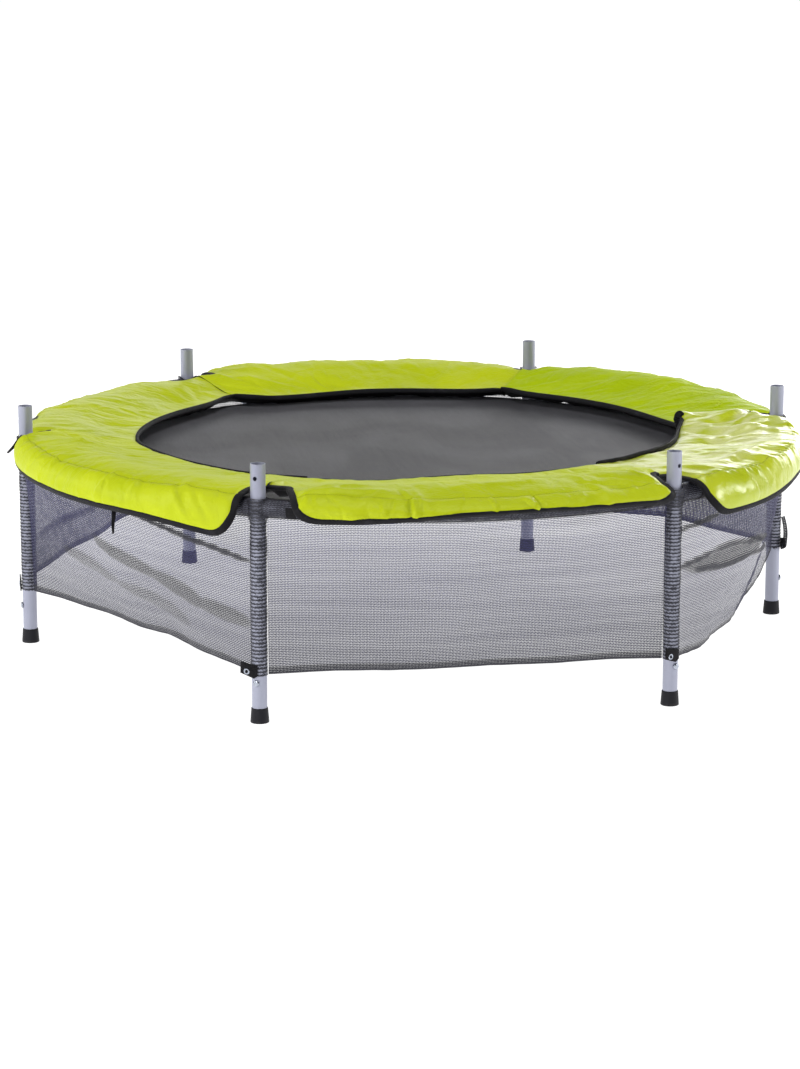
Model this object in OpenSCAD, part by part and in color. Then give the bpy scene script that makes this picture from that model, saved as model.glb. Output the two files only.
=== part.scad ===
// Kids' trampoline: a six-legged ring frame with a sprung mat, a padded edge
// cover and a low net round the legs. Millimetres, +Z up. The origin is on the
// floor under the middle of the mat, and +X points at upright 3.
//
// Upright i stands at post_angle(i), and bay i runs from upright i to the next.

/* [Frame] */
// Diameter of the ring frame over its outside
frame_d = 1400; // [1100:10:1800]
// Height of the ring tube's centre line above the floor
frame_h = 358; // [290:1:500]
// Outside diameter of every frame tube
tube_d = 25; // [21:0.5:32]
// Wall of every frame tube
tube_wall = 1.2; // [1:0.1:2]
// Number of uprights
post_count = 6; // [5:1:8]
// Length of the swaged spigot at a leg's top
spigot_len = 40; // [25:1:45]
// Length of the swaged shoulder between a leg and its spigot
shoulder_len = 3; // [2:0.5:6]
// Radial play of a spigot or stub in its tube
spigot_play = 0.1; // [0.05:0.05:0.3]

/* [Uprights] */
// Height of an upright's open top above the ring's centre line
post_rise = 72; // [50:1:120]
// Depth of the leg joint below the ring's centre line
joint_drop = 83; // [70:1:120]
// Length of a side stub along the ring, from the upright's axis
stub_len = 50; // [30:1:60]
// Gap between an upright and the end of a ring tube
butt_gap = 0.6; // [0.3:0.1:2]
// Diameter of the hole for a net pole's screw
pole_hole_d = 7; // [4:0.5:9]
// Depth of that hole below the upright's top
pole_hole_drop = 23; // [15:1:40]
// Radius of the rolled bead that stops the leg and the pole
bead_r = 1; // [0.6:0.1:1.2]

/* [Feet] */
// Height of a foot cap
cap_h = 25; // [18:1:40]
// Thickness of a foot cap's floor
cap_floor = 3; // [2:0.5:6]
// Wall of a foot cap at its top
cap_wall = 1.25; // [1:0.05:4]
// Spread of a foot cap's diameter from its top to its base
cap_spread = 3.4; // [1:0.2:8]
// Radial play of a leg in its foot cap
cap_play = 0.05; // [0.05:0.05:0.2]
// Drop of the leg screw below the net's lower edge
screw_drop = 12; // [12:1:30]
// Diameter of the leg screw's shank
screw_d = 4.6; // [3:0.1:5.5]
// Diameter of the leg screw's head
screw_head_d = 11; // [8:0.5:12]
// Height of the leg screw's head
screw_head_h = 3.2; // [2:0.1:4]

/* [Suspension] */
// Springs in each bay
springs_per_bay = 5; // [4:1:6]
// Length of a spring between the insides of its two hooks
spring_len = 108; // [85:1:140]
// Outside diameter of a spring's coil
coil_d = 15; // [12:0.5:18]
// Diameter of the spring wire
spring_wire = 2.6; // [2:0.1:3]
// Inside radius of a spring's hooks
hook_r = 3.9; // [3.8:0.1:4.5]
// Drop of the mat's top below the ring's centre line
mat_drop = 20; // [16:1:30]
// Thickness of the jump mat
mat_t = 1.5; // [1:0.1:3]
// Width of the webbing hem under the mat's edge
hem_w = 40; // [30:1:60]
// Thickness of the webbing hem
hem_t = 2; // [1:0.1:3]
// Length of a mat ring along the spring
ring_len = 22; // [18:1:30]
// Width of a mat ring at its base
ring_w = 30; // [26:1:40]
// Diameter of the mat ring's wire
ring_wire = 3; // [2.5:0.1:3.5]
// Play between linked wires
link_play = 0.1; // [0.05:0.05:0.3]

/* [Pad] */
// How far the pad overlaps the mat
pad_overlap = 58; // [30:1:75]
// Thickness of the pad's foam
pad_t = 18; // [12:1:26]
// Clearance between the mat and the pad's inner edge
pad_clear = 4; // [2:0.5:8]
// Rise of the pad's crown between its inner edge and its seam
pad_crown = 8; // [2:1:16]
// Height from the outer seam down to the skirt's lower edge
skirt_h = 56; // [40:1:80]
// How far the skirt bellies out beyond the seam
skirt_belly = 32; // [22:1:45]
// Thickness of the skirt
skirt_t = 7; // [4:0.5:10]
// Half width of the notch round an upright
notch_half_w = 47; // [46:1:70]
// Depth of the notch inside the ring's centre line
notch_in = 37; // [30:1:50]
// Radius of the notch's inner corners
notch_corner = 18; // [8:1:28]

/* [Net] */
// Height of the net's lower edge where it hangs fully down
hem_h = 80; // [76:1:120]
// Thickness of the netting and its seams
net_t = 1.2; // [0.8:0.1:2]
// Clearance between soft pieces and what they lie on
soft_gap = 0.3; // [0.2:0.1:0.6]
// Width of a corner tab
tab_w = 40; // [30:1:50]
// Height of a corner tab
tab_h = 26; // [20:1:28]
// Thickness of a corner tab
tab_t = 2; // [1:0.5:3]
// Width of a pad tie
tie_w = 16; // [10:1:20]
// Clearance between a pad tie and the first spring's hook hole
tie_clear = 1; // [0.5:0.5:4]

/* [Hidden] */
$fn = 48;
BAYS = [1 : post_count];

// Colours of the finishes
ZINC = "silver";
RUBBER = [0.08, 0.08, 0.09];
WEAVE = [0.30, 0.30, 0.32];
WEBBING = [0.12, 0.12, 0.13];
LIME = [0.70, 0.80, 0.14];
NETTING = [0.36, 0.37, 0.40];
BRIGHT = [0.86, 0.87, 0.88];

// Ring and tubes
EPS = 0.02;
WIRE_LAP = 0.2;
bay_angle = 360 / post_count;
ring_r = (frame_d - tube_d) / 2;
tube_r = tube_d / 2;
bore_r = tube_r - tube_wall;
spigot_r = bore_r - spigot_play;
spigot_bore_r = spigot_r - tube_wall;
post_top = frame_h + post_rise;
screw_h = hem_h - screw_drop;
joint_h = frame_h - joint_drop;

// Suspension: hook circles, ring positions and the mat, all from the frame
wire_r = spring_wire / 2;
hook_mid_r = hook_r + wire_r;
hook_hole_d = 2.3 * spring_wire;
first_spring = ring_r * PI / 180 * bay_angle / springs_per_bay / 2;
hook_drop = hook_mid_r;
hook_out_r = ring_r - sqrt(pow(bore_r, 2) - pow(hook_drop, 2)) - hook_r + link_play;
hook_tip_r = hook_out_r + hook_mid_r + wire_r;
ring_wire_r = ring_wire / 2;
tunnel_r = ring_wire_r + soft_gap;
loop_h = 2 * tunnel_r + hem_t;
mat_top = frame_h - mat_drop;
mat_under = mat_top - mat_t;
bar_h = mat_under - loop_h / 2;
hook_rise = frame_h - hook_drop - bar_h;
hook_pitch = spring_len - 2 * hook_r;
hook_in_r = hook_out_r - sqrt(pow(hook_pitch, 2) - pow(hook_rise, 2));
spring_slope = asin(hook_rise / hook_pitch);
ring_apex_r = hook_in_r - hook_r + ring_wire_r + link_play;
ring_tip_bend = ring_wire_r + 2.4 * wire_r;
tip_centre = ring_len - ring_tip_bend;
ring_tip_half = atan2(ring_w / 2, tip_centre) - asin(ring_tip_bend / norm([ring_w / 2, tip_centre]));
ring_base_r = ring_apex_r - ring_len;
loop_half_w = ring_w / 2 - ring_wire - 1;
loop_reach = ring_base_r + tunnel_r + hem_t;
mat_r = ring_base_r - 3 * ring_wire;

// Pad: its section is set out from the frame's top and the mat's edge
wrap_r = tube_r + soft_gap + net_t;
pad_in_r = mat_r - pad_overlap;
seam_r = ring_r + wrap_r + soft_gap + 1;
pad_seat = frame_h + wrap_r + soft_gap;
seam_h = pad_seat + pad_t * 0.75;
pad_edge_h = mat_top + pad_clear;
skirt_root_h = pad_seat - pad_t * 0.2;
skirt_foot_h = seam_h - skirt_h;
skirt_foot_r = seam_r + skirt_belly * 0.8;
belly_h = seam_h - skirt_h * 0.6;
CROWN_STEPS = 8;
BELLY_STEPS = 6;

// Net: panels hang from the ring to a straight hem between the legs
panel_top_h = frame_h - wrap_r - soft_gap;
panel_start = (wrap_r + soft_gap + net_t / 2) / cos(bay_angle / 4);
header_start = wrap_r + 2;
PANEL_STEPS = 8;
eyelet_bore_r = 2.4;
eyelet_neck_r = 3.6;
eyelet_rim_r = 5.2;
eyelet_lip = 1;
eyelet_play = 0.1;
// How far the netting has ridden up each leg
NET_LIFT = [0, 0, 45, 30, 70, 16];
tab_shift = tab_w * 0.3;
// Pad ties pass under the wrapped ring, between each upright and its first springs
tie_r = wrap_r + soft_gap;
tie_place = first_spring - (hook_hole_d + tie_w) / 2 - tie_clear;
tie_top = pad_seat - soft_gap;
skirt_slope = (skirt_root_h - skirt_foot_h) / (skirt_foot_r - skirt_t - ring_r - tie_r);
tie_outer_top = skirt_root_h - (net_t + 2 * soft_gap) * skirt_slope;

function post_angle(i) = -180 + bay_angle * i;
function hem_at(i) = hem_h + NET_LIFT[(i - 1) % len(NET_LIFT)];
function arc_angle(length) = length / ring_r * 180 / PI;
function mix(a, b, t) = a + (b - a) * t;
function unit(v) = v / norm(v);
// Half of the inside angle at corner k of a closed outline
function half_corner(c, k) = let (n = len(c))
    acos(unit(c[(k + n - 1) % n] - c[k]) * unit(c[(k + 1) % n] - c[k])) / 2;
function on_ring(r, a, z) = [r * cos(a), r * sin(a), z];

// Places children at upright i, with +X pointing away from the middle
module at_post(i) {
    rotate(post_angle(i)) translate([ring_r, 0, 0]) children();
}

// Turns children to every spring's bearing
module at_springs() {
    step = bay_angle / springs_per_bay;
    for (i = BAYS, k = [0 : springs_per_bay - 1])
        rotate(post_angle(i) + step * (k + 0.5)) children();
}

// Ring-shaped tube between two bearings, given by its outer and inner radius
module ring_tube(r_out, r_in, start, stop) {
    rotate(start) rotate_extrude(angle = stop - start, $fn = 180)
        translate([ring_r, frame_h]) difference() {
            circle(r_out);
            circle(r_in);
        }
}

// Closed loop of round wire in the XY plane: the corners run anticlockwise round a
// convex outline, and each is bent to its own radius
module wire_loop(corners, bends, r) {
    count = len(corners);
    for (k = [0 : count - 1]) {
        next = (k + 1) % count;
        here = corners[k];
        ahead = unit(corners[next] - here);
        back = unit(corners[(k + count - 1) % count] - here);
        half = half_corner(corners, k);
        trim = bends[k] / tan(half);
        next_trim = bends[next] / tan(half_corner(corners, next));
        run = norm(corners[next] - here) - trim - next_trim;
        translate(here + unit(back + ahead) * bends[k] / sin(half))
            rotate(atan2(-back.y, -back.x) - 90) rotate_extrude(angle = 180 - 2 * half, $fn = 32)
                translate([bends[k], 0]) circle(r, $fn = 16);
        translate(here + ahead * (trim - WIRE_LAP)) rotate([90, 0, atan2(ahead.y, ahead.x) + 90])
            cylinder(r = r - EPS, h = run + 2 * WIRE_LAP, $fn = 16);
    }
}

// Bent tube of one bay: slides over the stubs of two uprights, and is drilled for
// the springs' hooks on its inner side
module frame_tube(i) {
    end = arc_angle(tube_r + butt_gap);
    step = bay_angle / springs_per_bay;
    color(ZINC) difference() {
        ring_tube(tube_r, bore_r, post_angle(i) + end, post_angle(i + 1) - end);
        for (k = [0 : springs_per_bay - 1])
            rotate(post_angle(i) + step * (k + 0.5)) translate([ring_r - tube_d, 0, frame_h - wire_r / 4])
                rotate([0, 90, 0]) cylinder(d = hook_hole_d, h = tube_d);
    }
}

// T-piece: open-topped upright with a rolled stop bead, and two welded stubs that
// carry the ring tubes
module upright(i) {
    reach = arc_angle(stub_len);
    bead_h = joint_h + spigot_len + bead_r + link_play;
    color(ZINC) difference() {
        union() {
            at_post(i) translate([0, 0, joint_h]) cylinder(r = tube_r, h = post_top - joint_h);
            ring_tube(spigot_r, spigot_bore_r, post_angle(i) - reach, post_angle(i) + reach);
        }
        at_post(i) {
            difference() {
                translate([0, 0, joint_h - 1]) cylinder(r = bore_r, h = post_top - joint_h + 2);
                translate([0, 0, bead_h]) rotate_extrude() translate([bore_r, 0]) circle(bead_r, $fn = 24);
            }
            translate([0, 0, bead_h]) rotate_extrude() translate([tube_r + bead_r * 0.4, 0])
                circle(bead_r * 0.8, $fn = 24);
            translate([0, 0, post_top - pole_hole_drop]) rotate([0, 90, 0])
                cylinder(d = pole_hole_d, h = tube_d);
        }
    }
}

// Leg tube: plugs into the upright by a swaged spigot and stands in its foot cap
module leg(i) {
    color(ZINC) at_post(i) difference() {
        rotate_extrude() polygon([
            [bore_r, cap_floor], [tube_r, cap_floor], [tube_r, joint_h], [spigot_r, joint_h],
            [spigot_r, joint_h + spigot_len], [spigot_bore_r, joint_h + spigot_len],
            [spigot_bore_r, joint_h - shoulder_len], [bore_r, joint_h - shoulder_len * 2]
        ]);
        translate([0, 0, screw_h]) rotate([0, 90, 0]) cylinder(d = screw_d + 0.4, h = tube_d);
    }
}

// Rubber cup that tapers out to the floor, with eased edges
module foot_cap(i) {
    top_r = tube_r + cap_play + cap_wall;
    base_r = top_r + cap_spread / 2;
    ease = cap_wall;
    color(RUBBER) at_post(i) difference() {
        rotate_extrude() polygon(concat(
            [[0, 0]],
            [for (a = [-90 : 30 : 0]) [base_r - ease + ease * cos(a), ease + ease * sin(a)]],
            [[top_r, cap_h - ease / 2], [top_r - ease / 2, cap_h], [0, cap_h]]
        ));
        translate([0, 0, cap_floor]) cylinder(r = tube_r + cap_play, h = cap_h);
    }
}

// Pan-head screws, one in the outer side of each leg
module leg_screws() {
    head_r = screw_head_d / 2;
    color(BRIGHT) for (i = BAYS) at_post(i)
        translate([tube_r + EPS, 0, screw_h]) rotate([0, 90, 0]) union() {
            rotate_extrude() polygon(concat(
                [[0, 0], [head_r, 0]],
                [for (a = [0 : 18 : 90])
                    [head_r * (0.55 + 0.45 * cos(a)), screw_head_h * (0.3 + 0.7 * sin(a))]],
                [[0, screw_head_h]]
            ));
            translate([0, 0, -tube_wall * 5]) cylinder(d = screw_d, h = tube_wall * 5 + EPS);
        }
}

// Woven jump mat
module jump_mat() {
    color(WEAVE) translate([0, 0, mat_under]) cylinder(r = mat_r, h = mat_t, $fn = 180);
}

// Webbing round the underside of the mat's edge, with a loop for every ring
module mat_hem() {
    loop_root = mat_r - hem_w * 0.4;
    color(WEBBING) difference() {
        union() {
            translate([0, 0, mat_under - hem_t]) rotate_extrude($fn = 180)
                translate([mat_r - hem_w, 0]) square([hem_w, hem_t]);
            at_springs() translate([loop_root, -loop_half_w, mat_under - loop_h])
                cube([loop_reach - loop_root, loop_half_w * 2, loop_h]);
        }
        at_springs() translate([ring_base_r, 0, bar_h]) rotate([90, 0, 0])
            cylinder(r = tunnel_r, h = ring_w, center = true, $fn = 24);
    }
}

// Triangular wire rings, one in each webbing loop, that the springs hook into
module mat_rings() {
    tip = ring_base_r + ring_w / 2 / tan(ring_tip_half);
    color(ZINC) at_springs() translate([0, 0, bar_h]) wire_loop(
        [[ring_base_r, -ring_w / 2], [tip, 0], [ring_base_r, ring_w / 2]],
        [ring_wire, ring_tip_bend, ring_wire], ring_wire_r
    );
}

// Open hook in the XZ plane, from the coil's rim round the pin it hangs on
module hook(sweep) {
    rotate([90, 0, 0]) rotate_extrude(angle = sweep, $fn = 32)
        translate([hook_mid_r, 0]) circle(wire_r, $fn = 16);
    translate([hook_mid_r, 0, wire_r - coil_d / 2])
        cylinder(r = wire_r, h = coil_d / 2 - wire_r, $fn = 16);
}

// Close-wound extension spring along +X, from its inner hook's centre
module spring() {
    coil_r = coil_d / 2;
    body_start = hook_mid_r + wire_r * 0.8;
    body_len = hook_pitch - 2 * body_start;
    turns = floor(body_len / spring_wire);
    turn = body_len / turns;
    groove = spring_wire * 0.3;
    union() {
        hook(300);
        translate([hook_pitch, 0, 0]) mirror([1, 0, 0]) hook(180 + spring_slope - 4);
        translate([body_start, 0, 0]) rotate([0, 90, 0]) rotate_extrude() polygon(concat(
            [[coil_r - spring_wire, 0]],
            [for (k = [0 : turns - 1], edge = [0, 1]) [coil_r - groove * (1 - edge), turn * (k + edge / 2)]],
            [[coil_r - groove, body_len], [coil_r - spring_wire, body_len]]
        ));
    }
}

// All springs, hooked through the ring tube's inner side and into the mat rings
module springs() {
    color(BRIGHT) at_springs() translate([hook_in_r, 0, bar_h]) rotate([0, -spring_slope, 0]) spring();
}

// Section of the padded cover, from its inner edge over the frame to its skirt
module pad_section() {
    top_in = pad_edge_h + pad_t;
    polygon(concat(
        [[pad_in_r, pad_edge_h]],
        [for (k = [0 : CROWN_STEPS]) let (t = k / CROWN_STEPS)
            [mix(pad_in_r, seam_r, t), mix(top_in, seam_h, t) + pad_crown * sin(180 * t)]],
        [for (k = [1 : BELLY_STEPS]) let (a = 90 * k / BELLY_STEPS)
            [seam_r + skirt_belly * sin(a), mix(belly_h, seam_h, cos(a))]],
        [[skirt_foot_r, skirt_foot_h], [skirt_foot_r - skirt_t, skirt_foot_h]],
        [[ring_r + wrap_r + soft_gap, skirt_root_h], [ring_r + wrap_r + soft_gap, pad_seat],
         [ring_r - tube_d * 0.7, pad_seat]]
    ));
}

// Notch that clears an upright, with round inner corners
module pad_notch() {
    reach = skirt_belly + tube_d * 3;
    translate([-notch_in, 0, frame_h - skirt_h]) linear_extrude(skirt_h * 3) {
        translate([notch_corner, -notch_half_w]) square([notch_in + reach, notch_half_w * 2]);
        translate([0, notch_corner - notch_half_w])
            square([notch_in, (notch_half_w - notch_corner) * 2]);
        for (side = [-1, 1])
            translate([notch_corner, side * (notch_half_w - notch_corner)]) circle(notch_corner);
    }
}

// Pad panel of one bay
module pad(i) {
    seam = arc_angle(soft_gap / 2);
    color(LIME) difference() {
        rotate(post_angle(i) + seam) rotate_extrude(angle = bay_angle - 2 * seam, $fn = 180) pad_section();
        at_post(i) pad_notch();
        at_post(i + 1) pad_notch();
    }
}

// Elastic ties slung under the ring from the pad, one on each side of every upright
module pad_ties() {
    half = arc_angle(tie_w / 2);
    color(WEBBING) for (i = BAYS, side = [-1, 1])
        rotate(post_angle(i) + side * arc_angle(tie_place) - half)
            rotate_extrude(angle = 2 * half, $fn = 180) translate([ring_r, 0]) tie_section();
}

// Section of a tie: a half ring under the tube, with a strap up to the pad on each side
module tie_section() {
    difference() {
        translate([0, frame_h]) circle(tie_r + net_t);
        translate([0, frame_h]) circle(tie_r);
        translate([-tie_r * 2, frame_h]) square([tie_r * 4, tie_r * 2]);
    }
    translate([-tie_r - net_t, frame_h - EPS]) square([net_t, tie_top - frame_h + EPS]);
    translate([tie_r, frame_h - EPS]) square([net_t, tie_outer_top - frame_h + EPS]);
}

// Slit in a net panel's top edge where a tie passes through, at that bearing
module tie_slit(bearing) {
    depth = tie_r + net_t + soft_gap - (frame_h - panel_top_h);
    half = tie_w / 2 + soft_gap;
    rotate(bearing) translate([ring_r - tube_r, -half, panel_top_h - depth])
        cube([tube_d, 2 * half, depth + 1]);
}

// Tunnel of netting round the ring, open on the side where the springs hook in
module net_header(i) {
    start = post_angle(i) + arc_angle(header_start);
    stop = post_angle(i + 1) - arc_angle(header_start);
    mouth = ring_r - hook_tip_r - 2 * soft_gap;
    color(NETTING) rotate(start) rotate_extrude(angle = stop - start, $fn = 180)
        translate([ring_r, frame_h]) difference() {
            circle(wrap_r);
            circle(tube_r + soft_gap);
            translate([-wrap_r - 1, -wrap_r - 1]) square([wrap_r + 1 - mouth, wrap_r * 2 + 2]);
        }
}

// Hanging net of one bay: a curved top edge falls to a straight hem
module net_panel(i) {
    a = post_angle(i);
    b = post_angle(i + 1);
    edge = arc_angle(panel_start);
    leg_a = on_ring(ring_r, a, hem_at(i));
    leg_b = on_ring(ring_r, b, hem_at(i % post_count + 1));
    inset = panel_start / norm(leg_b - leg_a);
    columns = [for (k = [0 : PANEL_STEPS]) let (
        t = k / PANEL_STEPS,
        bearing = mix(a + edge, b - edge, t),
        out = [cos(bearing), sin(bearing), 0] * net_t / 2,
        top = on_ring(ring_r, bearing, panel_top_h),
        foot = mix(leg_a, leg_b, mix(inset, 1 - inset, t))
    ) each [top + out, top - out, foot - out, foot + out]];
    last = PANEL_STEPS * 4;
    sides = [for (k = [0 : PANEL_STEPS - 1]) let (p = k * 4, q = p + 4) each [
        [p, q, q + 3, p + 3], [p + 1, p + 2, q + 2, q + 1],
        [p, p + 1, q + 1, q], [p + 3, q + 3, q + 2, p + 2]
    ]];
    color(NETTING) difference() {
        polyhedron(columns, concat(sides, [[1, 0, 3, 2], [last, last + 1, last + 2, last + 3]]));
        tie_slit(a + arc_angle(tie_place));
        tie_slit(b - arc_angle(tie_place));
    }
}

// Sleeve of netting round one leg
module leg_sleeve(i) {
    color(NETTING) at_post(i) translate([0, 0, hem_at(i)]) difference() {
        cylinder(r = wrap_r, h = panel_top_h - hem_at(i));
        translate([0, 0, -1]) cylinder(r = tube_r + soft_gap, h = panel_top_h);
    }
}

// Places children on the outer face of leg i's tab, at its eyelet
module at_eyelet(i) {
    at_post(i) translate([wrap_r + soft_gap, -tab_shift * 1.3, hem_at(i) + tab_h * 0.3])
        rotate([0, 90, 0]) children();
}

// Webbing tabs at the foot of the leg sleeves
module net_tabs() {
    color(WEBBING) for (i = BAYS) difference() {
        at_post(i) translate([wrap_r + soft_gap, -tab_w / 2 - tab_shift, hem_at(i) - tab_h * 0.2])
            cube([tab_t, tab_w, tab_h]);
        at_eyelet(i) translate([0, 0, -1]) cylinder(r = eyelet_neck_r + eyelet_play, h = tab_t + 2, $fn = 24);
    }
}

// Pressed steel eyelets in the tabs, each with a rounded rim on the outer face
module net_eyelets() {
    rim_h = tab_t + eyelet_lip;
    ease = eyelet_lip * 0.6;
    color(BRIGHT) for (i = BAYS) at_eyelet(i) rotate_extrude() polygon([
        [eyelet_bore_r, EPS - soft_gap], [eyelet_neck_r, EPS - soft_gap],
        [eyelet_neck_r, tab_t + EPS], [eyelet_rim_r, tab_t + EPS],
        [eyelet_rim_r, rim_h - ease], [eyelet_rim_r - ease, rim_h],
        [eyelet_bore_r + ease, rim_h], [eyelet_bore_r, rim_h - ease]
    ]);
}

for (i = BAYS) {
    frame_tube(i);
    upright(i);
    leg(i);
    foot_cap(i);
    pad(i);
    net_header(i);
    net_panel(i);
    leg_sleeve(i);
}
leg_screws();
jump_mat();
mat_hem();
mat_rings();
springs();
pad_ties();
net_tabs();
net_eyelets();
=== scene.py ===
"""A low round children's trampoline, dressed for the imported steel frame.

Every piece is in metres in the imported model's frame: +Z up, the origin on the floor
under the middle of the mat, and +X towards upright 3. Upright i stands at bearing
60 i - 180 degrees, and bay i runs from upright i to the next one.
"""

import logging
import math
from collections.abc import Callable, Mapping, Sequence
from dataclasses import dataclass
from enum import Enum

import bpy
import numpy as np
from mathutils import Matrix, Vector


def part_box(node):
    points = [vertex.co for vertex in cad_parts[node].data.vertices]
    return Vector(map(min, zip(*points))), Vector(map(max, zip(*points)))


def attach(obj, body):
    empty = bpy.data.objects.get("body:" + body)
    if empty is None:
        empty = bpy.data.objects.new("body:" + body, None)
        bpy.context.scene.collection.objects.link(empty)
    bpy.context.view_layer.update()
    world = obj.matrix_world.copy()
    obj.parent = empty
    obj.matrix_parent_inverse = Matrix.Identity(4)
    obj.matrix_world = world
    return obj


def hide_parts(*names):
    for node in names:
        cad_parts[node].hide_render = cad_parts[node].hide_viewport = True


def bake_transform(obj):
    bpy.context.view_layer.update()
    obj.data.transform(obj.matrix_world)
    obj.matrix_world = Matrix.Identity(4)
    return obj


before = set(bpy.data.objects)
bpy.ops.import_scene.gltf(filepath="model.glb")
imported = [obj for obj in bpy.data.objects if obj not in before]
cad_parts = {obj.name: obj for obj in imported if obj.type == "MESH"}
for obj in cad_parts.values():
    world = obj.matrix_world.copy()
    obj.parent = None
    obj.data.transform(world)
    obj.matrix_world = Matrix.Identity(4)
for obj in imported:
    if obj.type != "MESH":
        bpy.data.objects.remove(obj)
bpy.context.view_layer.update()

log = logging.getLogger("trampoline")
Array = np.ndarray
Piece = bpy.types.Object
Colour = Point = tuple[float, float, float]
Samples = tuple[float, ...]
CUT_MAP = "Cut"
LAYERS = "Layers"
GATHER_SEED = 300


class Body(Enum):
    """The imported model's bodies."""

    FRAME = "frame"
    BED = "bed"


class Slot(Enum):
    """The record's material slots."""

    RINGS = "zinc_wire"
    SPRINGS = "spring_steel"
    MAT = "mat_weave"
    WEBBING = "webbing"
    COVER = "pad_cover"
    NETTING = "netting"


# ---------- shading


def _joining(operation: str, swapped: bool = False) -> Callable[..., "Value"]:
    """A method that joins self to another operand by one operation.

    Args:
        operation: What the Math node does.
        swapped: Whether the other operand comes first.

    Returns:
        The method.
    """

    def method(self: "Value", other: object = 0.0) -> "Value":
        """Adds a Math node, or Vector Math where an operand is a vector."""
        pair = (other, self) if swapped else (self, other)
        vector = any(isinstance(x, Value) and x.socket.type in {"VECTOR", "RGBA"} for x in pair)
        kind = "ShaderNodeVectorMath" if vector else "ShaderNodeMath"
        return self.graph.node(kind, {"operation": operation}, dict(enumerate(pair)))

    return method


class Value:
    """One output of a material's node tree that takes part in arithmetic."""

    __add__ = __radd__ = _joining("ADD")
    __sub__, __rsub__ = _joining("SUBTRACT"), _joining("SUBTRACT", swapped=True)
    __mul__ = __rmul__ = _joining("MULTIPLY")
    __truediv__ = _joining("DIVIDE")
    __abs__ = _joining("ABSOLUTE")
    larger = _joining("MAXIMUM")
    _fraction, _sine = _joining("FRACT"), _joining("SINE")

    def __init__(self, graph: "Graph", socket: bpy.types.NodeSocket) -> None:
        """Wraps the socket of a node in that graph."""
        self.graph, self.socket = graph, socket

    def wrapped(self, period: float) -> "Value":
        """The share of the way from -1 to 1 through a pattern of that period."""
        return (self / period)._fraction() * 2.0 - 1.0

    def wave(self, period: float) -> "Value":
        """A sine from -1 to 1 that repeats at that period."""
        return (self * (math.tau / period))._sine()

    def step(self, low: float, high: float, smooth_ends: bool = True) -> "Value":
        """0 below low and 1 above high, or the other way round where low is larger."""
        rising = low < high
        return self.graph.node(
            "ShaderNodeMapRange",
            {"interpolation_type": "SMOOTHSTEP" if smooth_ends else "LINEAR"},
            {"Value": self, "From Min": min(low, high), "From Max": max(low, high),
             "To Min": 0.0 if rising else 1.0, "To Max": 1.0 if rising else 0.0},
        )

    def parts(self) -> tuple["Value", "Value", "Value"]:
        """The vector's three components."""
        made = self.graph.node("ShaderNodeSeparateXYZ", inputs={"Vector": self})
        return tuple(Value(self.graph, out) for out in made.socket.node.outputs)


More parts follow.
